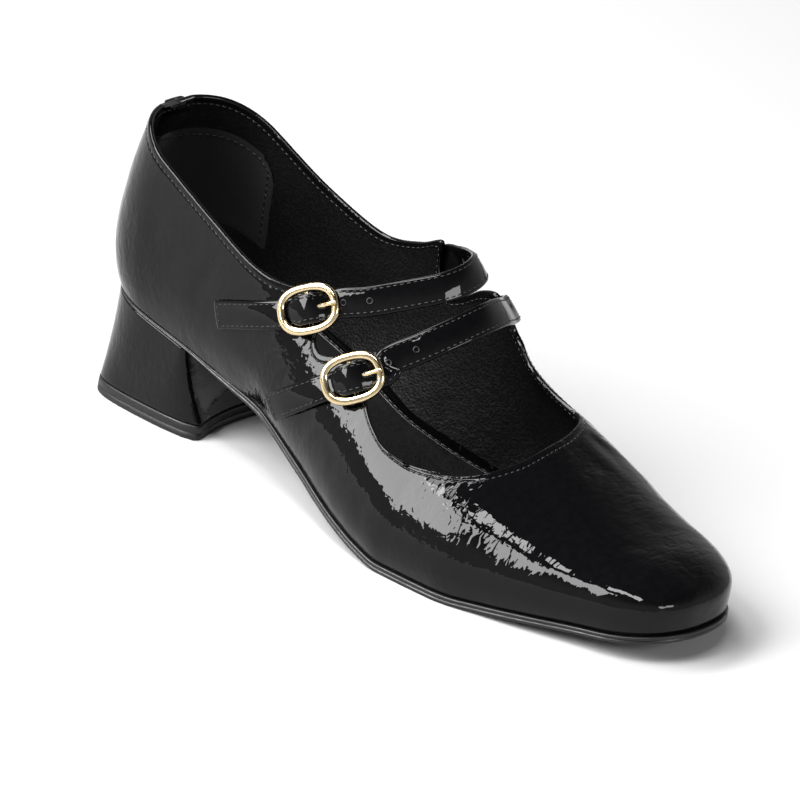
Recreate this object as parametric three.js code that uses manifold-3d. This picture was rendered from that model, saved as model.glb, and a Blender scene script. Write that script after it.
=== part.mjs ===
// A right-foot mary jane with a low block heel and two buckled straps, as separate solids.
// Millimetres. The working frame is the shoe's own: x to the medial (inner) side, u forward from the
// back of the heel, z up from the floor. place() turns it to the part's frame, toe towards -Y.
import * as THREE from "three";
import Module from "manifold-3d";

const wasm = await Module();
wasm.setup();

// ---------------------------------------------------------------- driving dimensions
const LENGTH = 248;            // back of the heel to the toe
const FRAME_X = 3.29;          // moves the box's middle to X = 0
const FRAME_U = 124;           // moves the box's middle to Y = 0
const WALL = 1.6;              // patent leather with its lining
const GAP = 0.3;               // clearance between pieces that touch
const INSOLE_THICK = 3.2;
const INSOLE_INSET = WALL + 0.6;
const SOLE_EDGE = 0.9;         // how far the forefoot edge of the sole stands out
const HEEL_CLOSE = 27;         // u where the back of the outline starts to round off
const HEEL_CLOSE_POWER = 2.2;
const LATERAL_CLOSE = 226;     // u where the toe starts to round off, outer side
const MEDIAL_CLOSE = 218;      // the same, inner side
const CROWN_CLOSE = 227;       // the same, seen from the side
const TOE_CLOSE_POWER = 2.5;
const COLUMN_ROWS = 9;         // faces up each column of the upper
const COLUMN_LEAN = 2.5;       // columns stand straight low down and lean near the top edge
const FOOT_ROWS = 3;           // of those, the rows below the widest level
const BREAST = 47;             // u of the heel block's front at its top
const LIFT_THICK = 5;
const HEEL_BASE = { x: -0.6, halfWidth: 25.2, back: 4.2, front: 55, power: 6.5, hollow: 5 };
const BREAST_HOLLOW = 2.5;     // the breast is hollowed at the seat by this, and more at the base
const STRAP = { width: 9.6, thick: 1.8 };
const TAB = { width: 9.2, thick: 1.4 };
const RING = { length: 20.6, width: 16.2, wire: 2.3, flat: 0.83 };
const BAR = { thick: 1.4, drop: 0.9 };   // the buckle's centre bar and how far it sits below the ring
const PRONG = 1.5;
const TIP_RADIUS = 4.2;        // the strap's rounded tip

// Underside of the sole and its thickness along the shoe.
const SOLE = [
  { u: 0, z: 38.4, thick: 1.1 },
  { u: 10, z: 38.1, thick: 1.1 },
  { u: 20, z: 36.4, thick: 1.1 },
  { u: 32, z: 33.9, thick: 1.1 },
  { u: 47, z: 30.7, thick: 1.3 },
  { u: 61, z: 26.7, thick: 1.9 },
  { u: 75, z: 22.7, thick: 2.6 },
  { u: 90, z: 18.2, thick: 2.8 },
  { u: 109, z: 11.4, thick: 2.8 },
  { u: 128, z: 5.1, thick: 2.8 },
  { u: 140, z: 1.9, thick: 2.8 },
  { u: 152, z: 0, thick: 2.8 },
  { u: 178, z: 0, thick: 2.8 },
  { u: 190, z: 0.9, thick: 2.7 },
  { u: 205, z: 2.6, thick: 2.6 },
  { u: 220, z: 4.3, thick: 2.5 },
  { u: 235, z: 6, thick: 2.4 },
  { u: 248, z: 7.8, thick: 2.4 },
];

// Sections of the last, one table for each side. half is the half width at the widest level (belt),
// tuck how much narrower the bottom edge is, belt that level's height, crown the height where the
// curve would close over the foot, and round its fullness (2 is an ellipse, more is boxier).
const OUTER = [
  { u: 0, half: 29.5, tuck: 3, belt: 57, crown: 130, round: 2 },
  { u: 30, half: 29.5, tuck: 3, belt: 55, crown: 130, round: 2 },
  { u: 50, half: 30, tuck: 3.5, belt: 51, crown: 128, round: 2 },
  { u: 66, half: 30.8, tuck: 4.5, belt: 46.5, crown: 118, round: 2 },
  { u: 80, half: 31.5, tuck: 5.5, belt: 42, crown: 98, round: 2 },
  { u: 88, half: 32.5, tuck: 4.6, belt: 37.6, crown: 84, round: 2 },
  { u: 97, half: 33.7, tuck: 3.4, belt: 33, crown: 74.5, round: 2 },
  { u: 105, half: 35, tuck: 2.6, belt: 29, crown: 68.5, round: 2 },
  { u: 119, half: 38.7, tuck: 2, belt: 22, crown: 61.5, round: 2 },
  { u: 128, half: 41, tuck: 1.8, belt: 17, crown: 60, round: 2 },
  { u: 140, half: 43.5, tuck: 1.8, belt: 13.5, crown: 54.6, round: 2 },
  { u: 150, half: 44.8, tuck: 1.8, belt: 12, crown: 49.5, round: 2 },
  { u: 172, half: 44.2, tuck: 1.8, belt: 11.5, crown: 43, round: 2.1 },
  { u: 190, half: 40, tuck: 1.8, belt: 12, crown: 36.6, round: 2.2 },
  { u: 206, half: 35.6, tuck: 1.8, belt: 13, crown: 31.8, round: 2.3 },
  { u: 220, half: 31, tuck: 1.6, belt: 14.5, crown: 28.6, round: 2.4 },
  { u: 235, half: 27, tuck: 1.4, belt: 16, crown: 26.2, round: 2.5 },
  { u: 248, half: 24, tuck: 1.2, belt: 17.5, crown: 24.5, round: 2.5 },
];
const INNER = [
  { u: 0, half: 29, tuck: 3, belt: 57, crown: 130, round: 2 },
  { u: 30, half: 29, tuck: 3, belt: 55, crown: 130, round: 2 },
  { u: 50, half: 29.8, tuck: 4.5, belt: 52, crown: 130, round: 2 },
  { u: 80, half: 32, tuck: 8.5, belt: 52, crown: 127, round: 2 },
  { u: 105, half: 33.2, tuck: 11.5, belt: 54, crown: 99, round: 2.2 },
  { u: 117, half: 34.4, tuck: 10.2, belt: 50, crown: 87, round: 2.4 },
  { u: 128, half: 36, tuck: 8.5, belt: 44, crown: 78, round: 2.6 },
  { u: 140, half: 38, tuck: 6.5, belt: 29, crown: 57, round: 3 },
  { u: 150, half: 38.2, tuck: 4, belt: 20, crown: 50.5, round: 3.2 },
  { u: 172, half: 38, tuck: 2.2, belt: 13, crown: 43, round: 3.2 },
  { u: 190, half: 36.8, tuck: 2, belt: 12, crown: 36.6, round: 3 },
  { u: 206, half: 32.4, tuck: 1.8, belt: 13, crown: 31.8, round: 3 },
  { u: 220, half: 29, tuck: 1.6, belt: 14.5, crown: 28.6, round: 3 },
  { u: 235, half: 26.6, tuck: 1.4, belt: 16, crown: 26.2, round: 2.8 },
  { u: 248, half: 25, tuck: 1.2, belt: 17.5, crown: 24.5, round: 2.6 },
];

// x of the top of the vamp along the shoe.
const RIDGE = [
  { u: 105, x: 0 },
  { u: 128, x: 1 },
  { u: 140, x: 2.5 },
  { u: 150, x: 4.5 },
  { u: 172, x: 8 },
  { u: 190, x: 7 },
  { u: 206, x: 5 },
  { u: 220, x: 3 },
  { u: 235, x: 0 },
  { u: 248, x: -1 },
];

// How far the back curve stands forward of the furthest point, by height.
const BACK_CURVE = [
  { z: 36, shift: 2.2 },
  { z: 46, shift: 0.6 },
  { z: 58, shift: 0 },
  { z: 78, shift: 2.3 },
  { z: 90, shift: 4.8 },
  { z: 104, shift: 8.3 },
];
const BACK_CURVE_REACH = 60;   // u where that shift has died out

// The top edge, once round: heel, outer side with its two ears, throat, inner side with its two ears.
// foot is where the column below starts: 0 at the heel, 1 at the toe. fan is 1 where columns run
// straight over the vamp. steps is the number of columns to the next row.
const TOPLINE = [
  { name: "back", x: 0, u: 7.2, z: 97.6, foot: 0, fan: 0, steps: 4 },
  { name: "outer collar 1", x: -19, u: 14.8, z: 95.6, foot: -0.14, fan: 0, steps: 4 },
  { name: "outer collar 2", x: -25, u: 30, z: 89, foot: -0.23, fan: 0, steps: 5 },
  { name: "outer collar 3", x: -27, u: 52, z: 79.5, foot: -0.31, fan: 0, steps: 4 },
  { name: "outer low point", x: -28, u: 75, z: 70.2, foot: -0.38, fan: 0, steps: 3 },
  { name: "ear 1 root", x: -24, u: 87.5, z: 68.2, foot: -0.392, fan: 0, steps: 3 },
  { name: "ear 1 back", x: -19, u: 94, z: 69.1, foot: -0.405, fan: 0, steps: 3 },
  { name: "ear 1 tip", x: -14.8, u: 99, z: 69, foot: -0.418, fan: 0, steps: 3 },
  { name: "ear 1 front", x: -21, u: 100.2, z: 63, foot: -0.427, fan: 0, steps: 3 },
  { name: "ear 1 base", x: -26.4, u: 100.6, z: 56.2, foot: -0.436, fan: 0, steps: 3 },
  { name: "outer scallop", x: -28, u: 104, z: 52.6, foot: -0.452, fan: 0, steps: 3 },
  { name: "ear 2 root", x: -26, u: 110, z: 53, foot: -0.474, fan: 0, steps: 3 },
  { name: "ear 2 back", x: -22, u: 115.8, z: 55.2, foot: -0.487, fan: 0, steps: 2 },
  { name: "ear 2 tip", x: -17.8, u: 119.8, z: 56.4, foot: -0.497, fan: 0, steps: 3 },
  { name: "ear 2 front", x: -23, u: 122.4, z: 52.4, foot: -0.506, fan: 0, steps: 3 },
  { name: "throat 1", x: -30.4, u: 127, z: 46, foot: -0.526, fan: 0, steps: 4 },
  { name: "throat 2", x: -33.8, u: 140, z: 37, foot: -0.58, fan: 0.1, steps: 4 },
  { name: "throat 3", x: -33.6, u: 153, z: 33.8, foot: -0.64, fan: 0.5, steps: 5 },
  { name: "throat 4", x: -27, u: 169.5, z: 35.5, foot: -0.72, fan: 1, steps: 5 },
  { name: "throat 5", x: -14, u: 176.3, z: 39.5, foot: -0.84, fan: 1, steps: 5 },
  { name: "throat front", x: 3, u: 176.5, z: 42, foot: -1, fan: 1, steps: 5 },
  { name: "throat 6", x: 16, u: 174.3, z: 42, foot: -1.13, fan: 1, steps: 5 },
  { name: "throat corner", x: 25.5, u: 169, z: 41.6, foot: -1.24, fan: 1, steps: 5 },
  { name: "throat 7", x: 28, u: 158, z: 44.6, foot: -1.33, fan: 0.5, steps: 4 },
  { name: "throat 8", x: 31, u: 143, z: 49.6, foot: -1.41, fan: 0.1, steps: 4 },
  { name: "ear 4 base", x: 34.5, u: 133, z: 54.2, foot: -1.458, fan: 0, steps: 3 },
  { name: "ear 4 front", x: 33, u: 129.6, z: 59.6, foot: -1.478, fan: 0, steps: 3 },
  { name: "ear 4 tip", x: 32.5, u: 125, z: 66, foot: -1.495, fan: 0, steps: 3 },
  { name: "ear 4 root", x: 33.5, u: 117.5, z: 64.2, foot: -1.518, fan: 0, steps: 3 },
  { name: "inner scallop 1", x: 34, u: 110.5, z: 59.4, foot: -1.535, fan: 0, steps: 2 },
  { name: "inner scallop 2", x: 33.5, u: 104, z: 57.3, foot: -1.552, fan: 0, steps: 3 },
  { name: "inner scallop 3", x: 33, u: 100.4, z: 60.2, foot: -1.56, fan: 0, steps: 3 },
  { name: "ear 3 base", x: 32.5, u: 99.8, z: 65, foot: -1.571, fan: 0, steps: 2 },
  { name: "ear 3 front", x: 31.5, u: 100.2, z: 70, foot: -1.58, fan: 0, steps: 3 },
  { name: "ear 3 tip", x: 30, u: 101, z: 76, foot: -1.589, fan: 0, steps: 3 },
  { name: "ear 3 root", x: 32.5, u: 91, z: 71.6, foot: -1.613, fan: 0, steps: 3 },
  { name: "inner low point", x: 32, u: 77, z: 68.8, foot: -1.66, fan: 0, steps: 4 },
  { name: "inner collar 3", x: 30, u: 54, z: 76.3, foot: -1.71, fan: 0, steps: 4 },
  { name: "inner collar 2", x: 27, u: 31, z: 88, foot: -1.78, fan: 0, steps: 4 },
  { name: "inner collar 1", x: 19, u: 14.8, z: 95.6, foot: -1.87, fan: 0, steps: 5 },
];

// Centre lines of the straps over the instep, from the buckle to the inner side, and where each is
// sewn to its inner ear. axis is a point inside the leg that the strap faces away from.
const STRAPS = {
  strap_ankle: {
    axis: { x: 4, u: 93, z: 52 },
    route: [
      { x: -17.2, u: 112, z: 70.9 },
      { x: -8.4, u: 121.8, z: 75 },
      { x: 0.4, u: 128.5, z: 78 },
      { x: 8.5, u: 130.4, z: 79.8 },
      { x: 17.2, u: 127.4, z: 80 },
      { x: 25, u: 119, z: 76.9 },
      { x: 31.2, u: 109.6, z: 73 },
    ],
    sewn: [{ u: 103, z: 70.2 }, { u: 97.5, z: 66.8 }, { u: 92, z: 62.9 }, { u: 87, z: 59 }],
  },
  strap_instep: {
    axis: { x: 4, u: 108, z: 38 },
    route: [
      { x: -21.8, u: 127.9, z: 57.4 },
      { x: -12.5, u: 132.9, z: 62.2 },
      { x: -2, u: 137.3, z: 66.6 },
      { x: 8.6, u: 139, z: 69 },
      { x: 18.6, u: 137, z: 68 },
      { x: 27.6, u: 132.8, z: 64.6 },
    ],
    sewn: [{ u: 128.6, z: 62 }, { u: 123.5, z: 58.6 }, { u: 118, z: 54.8 }, { u: 112.5, z: 50.8 }],
  },
};

// Each buckle: middle of the ring, direction along the strap, outward direction, and the places on
// the outer quarter that its tab is sewn along, its end first.
const BUCKLES = [
  {
    tab: "buckle_tab_ankle", frame: "buckle_frame_ankle", prong: "buckle_prong_ankle",
    middle: { x: -28.2, u: 97.7, z: 65.6 },
    along: { x: 0.455, u: 0.79, z: 0.41 },
    outward: { x: -0.88, u: 0.24, z: 0.41 },
    sewn: [
      { u: 63.5, z: 51.1 }, { u: 70, z: 53.6 }, { u: 77, z: 56.1 }, { u: 84, z: 58.5 },
      { u: 89.5, z: 60.4 }, { u: 93, z: 62.4 },
    ],
  },
  {
    tab: "buckle_tab_instep", frame: "buckle_frame_instep", prong: "buckle_prong_instep",
    middle: { x: -31.5, u: 121.9, z: 52.1 },
    along: { x: 0.56, u: 0.715, z: 0.42 },
    outward: { x: -0.822, u: 0.363, z: 0.439 },
    sewn: [
      { u: 92.3, z: 30.7 }, { u: 98, z: 34.8 }, { u: 104.5, z: 39.4 }, { u: 110.5, z: 43.6 },
      { u: 114, z: 45.9 },
    ],
  },
];

// ---------------------------------------------------------------- materials
const material = (color, roughness, metalness = 0) =>
  new THREE.MeshStandardMaterial({ color, roughness, metalness });
const patent = material(0x0b0b0c, 0.12);
const rubber = material(0x151515, 0.6);
const lining = material(0x17161a, 0.75);
const gold = material(0xd9c38a, 0.18, 1);

// ---------------------------------------------------------------- curves and tables
const mix = (a, b, t) => a + (b - a) * t;
const clamp = (value, low, high) => Math.min(high, Math.max(low, value));
const smooth = (t) => t * t * (3 - 2 * t);
const rounding = (t, power) => (1 - clamp(t, 0, 1) ** power) ** (1 / power);

// A curve through a table's column that never overshoots its rows (monotone cubic).
function column(table, key, by) {
  const x = table.map((row) => row[by]);
  const y = table.map((row) => row[key]);
  const slope = x.slice(1).map((next, i) => (y[i + 1] - y[i]) / (next - x[i]));
  const tangent = x.map((_, i) => {
    if (i === 0) return slope[0];
    if (i === slope.length) return slope[i - 1];
    const [before, after] = [slope[i - 1], slope[i]];
    if (before * after <= 0) return 0;
    const [wide, narrow] = [x[i + 1] - x[i], x[i] - x[i - 1]];
    const [w1, w2] = [2 * wide + narrow, wide + 2 * narrow];
    return (w1 + w2) / (w1 / before + w2 / after);
  });
  return (at) => {
    const place = clamp(at, x[0], x[x.length - 1]);
    let i = 0;
    while (i < slope.length - 1 && place > x[i + 1]) i += 1;
    const span = x[i + 1] - x[i];
    const t = (place - x[i]) / span;
    const [t2, t3] = [t * t, t * t * t];
    return (2 * t3 - 3 * t2 + 1) * y[i] + (t3 - 2 * t2 + t) * span * tangent[i]
      + (3 * t2 - 2 * t3) * y[i + 1] + (t3 - t2) * span * tangent[i + 1];
  };
}

const soleBottom = column(SOLE, "z", "u");
const soleThick = column(SOLE, "thick", "u");
const seat = (u) => soleBottom(u) + soleThick(u) + GAP;
const ridge = column(RIDGE, "x", "u");
const backShift = column(BACK_CURVE, "shift", "z");
const SIDES = {
  outer: { sign: -1, close: LATERAL_CLOSE, table: OUTER },
  inner: { sign: 1, close: MEDIAL_CLOSE, table: INNER },
};
for (const side of Object.values(SIDES)) {
  for (const part of ["half", "tuck", "belt", "crown", "round"]) {
    side[part] = column(side.table, part, "u");
  }
}

// The widest line of one side, closed by a round heel and a square toe.
function beltHalf(side, u) {
  const back = rounding((HEEL_CLOSE - u) / HEEL_CLOSE, HEEL_CLOSE_POWER);
  const front = rounding((u - side.close) / (LENGTH - side.close), TOE_CLOSE_POWER);
  const reach = side.half(u) - side.sign * ridge(u);
  return reach * Math.min(back, front);
}

function crownHeight(side, u) {
  const drop = rounding((u - CROWN_CLOSE) / (LENGTH - CROWN_CLOSE), TOE_CLOSE_POWER);
  const belt = side.belt(u);
  return belt + (side.crown(u) - belt) * drop;
}

// A point of the last's outside: u along, one side, and q from -1 at the bottom edge through 0 at
// the widest level to 1 on the ridge.
function lastPoint(side, u, q) {
  const reach = beltHalf(side, u);
  const belt = side.belt(u);
  let out = reach;
  let z = belt;
  if (q < 0) {
    z = mix(belt, seat(u), -q);
    out = Math.max(0, reach - side.tuck(u) * q * q * Math.min(1, reach / 12));
  } else {
    const angle = clamp(q, 0, 1) * Math.PI / 2;
    const power = 2 / side.round(u);
    out = reach * Math.max(0, Math.cos(angle)) ** power;
    z = belt + (crownHeight(side, u) - belt) * Math.sin(angle) ** power;
  }
  const fade = 1 - smooth(clamp(u / BACK_CURVE_REACH, 0, 1));
  return new THREE.Vector3(ridge(u) + side.sign * out, u + backShift(z) * fade, z);
}

// q of the surface at a height, and q of the surface point above any x of the plan.
function qAtHeight(side, u, z) {
  const belt = side.belt(u);
  if (z < belt) return clamp(-(belt - z) / (belt - seat(u)), -1, 0);
  const rise = clamp((z - belt) / (crownHeight(side, u) - belt), 0, 1);
  return Math.asin(rise ** (side.round(u) / 2)) / (Math.PI / 2);
}

function qAtPlan(side, u, x) {
  const across = clamp(side.sign * (x - ridge(u)) / Math.max(1e-6, beltHalf(side, u)), 0, 1);
  return Math.acos(across ** (side.round(u) / 2)) / (Math.PI / 2);
}

// A place on the outside of one side at a given u and height, lifted off the surface.
function onQuarter(side, u, z, lift) {
  const at = (du, dz) => lastPoint(side, u + du, qAtHeight(side, u + du, z + dz));
  const forward = at(0.5, 0).sub(at(-0.5, 0));
  const up = at(0, 0.5).sub(at(0, -0.5));
  const normal = forward.cross(up).normalize();
  if (normal.x * side.sign < 0) normal.negate();
  return { point: at(0, 0).addScaledVector(normal, lift), normal };
}

// ---------------------------------------------------------------- meshes
const place = (p) => [p.x + FRAME_X, FRAME_U - p.y, p.z];

const corners = (points) => points.flatMap(place);
const turned = (triangles) => triangles.flatMap(([a, b, c]) => [a, c, b]); // place() mirrors the frame

function meshOf(name, positions, index, look) {
  const geometry = new THREE.BufferGeometry();
  geometry.setAttribute("position", new THREE.Float32BufferAttribute(positions, 3));
  geometry.setIndex(index);
  geometry.computeVertexNormals();
  const mesh = new THREE.Mesh(geometry, look);
  mesh.name = name;
  return mesh;
}

const meshFrom = (name, points, triangles, look) =>
  meshOf(name, corners(points), turned(triangles), look);

// Two closed bodies joined into one.
function joined(name, first, second, look) {
  const [a, b] = [first, second].map(({ points, faces }) => new wasm.Manifold(new wasm.Mesh({
    numProp: 3,
    vertProperties: new Float32Array(corners(points)),
    triVerts: new Uint32Array(turned(faces)),
  })));
  const { vertProperties, triVerts } = a.add(b).getMesh();
  return meshOf(name, Array.from(vertProperties), Array.from(triVerts), look);
}

// Quads between two rows of point numbers; the second row is on the left of the first, seen from
// outside and walking along it.
function band(first, second, closed) {
  const count = closed ? first.length : first.length - 1;
  const faces = [];
  for (let i = 0; i < count; i += 1) {
    const j = (i + 1) % first.length;
    faces.push([first[i], first[j], second[j]], [first[i], second[j], second[i]]);
  }
  return faces;
}

// A closed body from loops of points, one loop after the other, its two ends closed by rungs
// between the loop's two halves.
function loftBody(loops) {
  const size = loops[0].length;
  const rows = loops.map((_, k) => loops[k].map((__, i) => k * size + i));
  const faces = [];
  for (let k = 0; k + 1 < rows.length; k += 1) faces.push(...band(rows[k], rows[k + 1], true));
  const cap = (row, flip) => {
    const half = row.length / 2;
    const left = row.slice(0, half);
    const right = row.slice(half).reverse();
    faces.push(...(flip ? band(right, left, false) : band(left, right, false)));
  };
  cap(rows[0], true);
  cap(rows[rows.length - 1], false);
  return { points: loops.flat(), faces };
}

function loftLoops(name, loops, look) {
  const { points, faces } = loftBody(loops);
  return meshFrom(name, points, faces, look);
}

// ---------------------------------------------------------------- upper
// Dense loop of columns: where each starts on the bottom edge and where it ends on the top edge.
function upperColumns() {
  const closedPath = new THREE.CatmullRomCurve3(
    TOPLINE.map((row) => new THREE.Vector3(row.x, row.u, row.z)), true, "centripetal");
  const ends = [...TOPLINE, { ...TOPLINE[0], foot: -2 }];
  const columns = [];
  TOPLINE.forEach((row, i) => {
    const next = ends[i + 1];
    for (let k = 0; k < row.steps; k += 1) {
      const t = k / row.steps;
      columns.push({
        top: closedPath.getPoint((i + t) / TOPLINE.length),
        foot: -mix(row.foot, next.foot, t),
        fan: mix(row.fan, next.fan, t),
      });
    }
  });
  return columns;
}

function smoothFeet(columns) {
  for (let pass = 0; pass < 2; pass += 1) {
    const feet = columns.map((c) => c.foot);
    columns.forEach((c, i) => {
      if (i === 0) return;
      const after = i + 1 < feet.length ? feet[i + 1] : 2;
      c.foot = (feet[i - 1] + 2 * feet[i] + after) / 4;
    });
  }
}

function columnPoints({ top, foot, fan }) {
  const side = foot <= 1 ? SIDES.outer : SIDES.inner;
  const reach = foot <= 1 ? foot : 2 - foot;
  const footU = LENGTH * (1 - Math.cos(Math.PI * reach)) / 2;
  const topU = top.y - backShift(top.z) * (1 - smooth(clamp(top.y / BACK_CURVE_REACH, 0, 1)));
  const topSide = top.x < ridge(topU) ? SIDES.outer : SIDES.inner;
  const topQ = mix(qAtHeight(topSide, topU, top.z), qAtPlan(topSide, topU, top.x), fan);
  const start = lastPoint(side, footU, 0);
  const points = [];
  for (let k = 0; k <= COLUMN_ROWS; k += 1) {
    const v = k / COLUMN_ROWS;
    const straightU = mix(footU, topU, v ** COLUMN_LEAN);
    const footZ = seat(footU);
    const topZ = lastPoint(topSide, topU, topQ).z;
    const sideQ = k === COLUMN_ROWS ? topQ : qAtHeight(side, straightU, mix(footZ, topZ, v));
    if (fan === 0) {
      points.push(lastPoint(side, straightU, sideQ));
      continue;
    }
    let fanU = footU;
    let fanQ = -1 + k / FOOT_ROWS;
    let fanSide = side;
    if (k > FOOT_ROWS) {
      const t = (k - FOOT_ROWS) / (COLUMN_ROWS - FOOT_ROWS);
      const inward = t * t * 0.55 + t * 0.45;
      const planX = mix(start.x, top.x, inward);
      fanU = mix(footU, topU, inward);
      fanSide = planX < ridge(fanU) ? SIDES.outer : SIDES.inner;
      fanQ = t === 1 ? topQ : qAtPlan(fanSide, fanU, planX);
    }
    if (fan === 1) {
      points.push(lastPoint(fanSide, fanU, fanQ));
    } else {
      points.push(lastPoint(side, mix(straightU, fanU, fan), mix(sideQ, fanQ, fan)));
    }
  }
  return points;
}

function gridNormal(grid, i, j) {
  const n = grid.length;
  const last = grid[0].length - 1;
  const along = grid[(i + 1) % n][j].clone().sub(grid[(i + n - 1) % n][j]);
  const up = grid[i][Math.min(j + 1, last)].clone().sub(grid[i][Math.max(j - 1, 0)]);
  return up.cross(along).normalize();
}

function upper() {
  const columns = upperColumns();
  smoothFeet(columns);
  const outer = columns.map(columnPoints);
  const inner = outer.map((points, i) => points.map((p, j) =>
    p.clone().addScaledVector(gridNormal(outer, i, j), -WALL)));
  const height = COLUMN_ROWS + 1;
  const points = [...outer.flat(), ...inner.flat()];
  const number = (layer, i, j) => (layer * outer.length + i) * height + j;
  const ring = (layer, j) => outer.map((_, i) => number(layer, i, j));
  const faces = [];
  for (let j = 0; j < COLUMN_ROWS; j += 1) {
    faces.push(...band(ring(0, j + 1), ring(0, j), true));
    faces.push(...band(ring(1, j), ring(1, j + 1), true));
  }
  faces.push(...band(ring(0, 0), ring(1, 0), true));
  faces.push(...band(ring(1, COLUMN_ROWS), ring(0, COLUMN_ROWS), true));
  return meshFrom("upper", points, faces, patent);
}

// ---------------------------------------------------------------- sole, insole, heel
// Points of the bottom outline of one side from heel to toe, moved outward by a given amount.
function outline(side, outward, first, last, count) {
  const edge = (t) => {
    const u = LENGTH * (1 - Math.cos(Math.PI * t)) / 2;
    return lastPoint(side, u, -1);
  };
  const points = [];
  for (let k = 0; k <= count; k += 1) {
    const t = mix(first, last, k / count);
    const p = edge(t);
    const ahead = edge(Math.min(0.999, t + 0.004)).sub(edge(Math.max(0.001, t - 0.004)));
    const normal = new THREE.Vector3(ahead.y * side.sign, -ahead.x * side.sign, 0).normalize();
    points.push(p.addScaledVector(normal, outward(p.y)));
  }
  return points;
}

// A slab between the two outlines: crosswise loops of top points then bottom points.
function slab(name, outward, topAt, bottomAt, look, first, last, count, across) {
  const lateral = outline(SIDES.outer, outward, first, last, count);
  const medial = outline(SIDES.inner, outward, first, last, count);
  const loops = lateral.map((left, k) => {
    const top = [];
    const bottom = [];
    for (let i = 0; i <= across; i += 1) {
      const t = i / across;
      const p = left.clone().lerp(medial[k], t);
      top.push(new THREE.Vector3(p.x, p.y, topAt(p.y, t)));
      bottom.unshift(new THREE.Vector3(p.x, p.y, bottomAt(p.y, t)));
    }
    return [...top, ...bottom];
  });
  return loftLoops(name, loops, look);
}

function outsole() {
  const flare = (u) => mix(-0.2, SOLE_EDGE, smooth(clamp((u - 50) / 60, 0, 1)));
  return slab("outsole", flare, (u) => soleBottom(u) + soleThick(u), soleBottom, rubber,
    0.05, 0.955, 50, 4);
}

function insole() {
  const bed = (u) => soleBottom(u) + soleThick(u) + GAP;
  const dish = (t) => 1.1 * (2 * t - 1) ** 4;
  return slab("insole", () => -INSOLE_INSET, (u, t) => bed(u) + INSOLE_THICK - 1.1 + dish(t), bed,
    lining, 0.07, 0.945, 36, 6);
}

// The heel block narrows from the seat's outline to a rounded rectangle that flares out at the
// bottom; s is 0 at the seat and 1 at the lift.
function heelLoop(s, zAt, inset) {
  const arcSteps = 28;
  const breastSteps = 6;
  const base = HEEL_BASE;
  const bulge = s * s * 0.62 + s * 0.38;
  const loop = [];
  for (let k = 0; k <= arcSteps; k += 1) {
    const turn = Math.PI * k / arcSteps;
    const side = turn <= Math.PI / 2 ? SIDES.outer : SIDES.inner;
    const along = BREAST * (1 - Math.sin(turn) ** 1.15);
    const seatEdge = lastPoint(side, along, -1);
    const cosine = Math.cos(turn);
    const low = 2 / base.power;
    const baseX = base.x - base.halfWidth * Math.sign(cosine) * Math.abs(cosine) ** low;
    const baseU = base.front - (base.front - base.back) * Math.sin(turn) ** low;
    const x = mix(seatEdge.x, baseX, bulge);
    const u = mix(Math.min(seatEdge.y, BREAST), baseU, bulge);
    loop.push(new THREE.Vector3(x, u, 0));
  }
  const [start, end] = [loop[0], loop[arcSteps]];
  for (let k = 1; k < breastSteps; k += 1) {
    const t = k / breastSteps;
    const p = end.clone().lerp(start, t);
    p.y -= mix(BREAST_HOLLOW, base.hollow, s) * 4 * t * (1 - t);
    loop.push(p);
  }
  const middle = new THREE.Vector3(base.x, 26, 0);
  for (const p of loop) {
    const toMiddle = middle.clone().sub(p).normalize();
    p.addScaledVector(toMiddle, inset);
    p.z = zAt(p.y);
  }
  return loop;
}

function blockLoops() {
  const levels = [0, 0.1, 0.22, 0.36, 0.5, 0.64, 0.78, 0.9, 1];
  const seatUnder = (u) => soleBottom(u) - GAP;
  return levels.map((s) => heelLoop(s, (u) => mix(seatUnder(u), LIFT_THICK + GAP, s), 0.3));
}

// A body from stacked level loops with its flat ends closed by a fan about a middle point.
function stack(name, loops, look) {
  const size = loops[0].length;
  const points = loops.flat();
  const rows = loops.map((_, k) => loops[k].map((__, i) => k * size + i));
  const faces = [];
  for (let k = 0; k + 1 < rows.length; k += 1) faces.push(...band(rows[k + 1], rows[k], true));
  const fan = (row, loop, up) => {
    const hub = loop.reduce((sum, p) => sum.add(p), new THREE.Vector3()).divideScalar(size);
    const hubNumber = points.push(hub) - 1;
    row.forEach((a, i) => {
      const b = row[(i + 1) % size];
      faces.push(up ? [a, b, hubNumber] : [b, a, hubNumber]);
    });
  };
  fan(rows[0], loops[0], true);
  fan(rows[rows.length - 1], loops[loops.length - 1], false);
  return meshFrom(name, points, faces, look);
}

function heelBlock() {
  return stack("heel_block", blockLoops(), patent);
}

function heelLift() {
  const top = heelLoop(1, () => LIFT_THICK, 0.1);
  const bottom = heelLoop(1, () => 0, -0.3);
  return stack("heel_lift", [top, bottom], rubber);
}

// ---------------------------------------------------------------- straps, tabs and buckles
const vector = ({ x, u, z }) => new THREE.Vector3(x, u, z);

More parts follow.
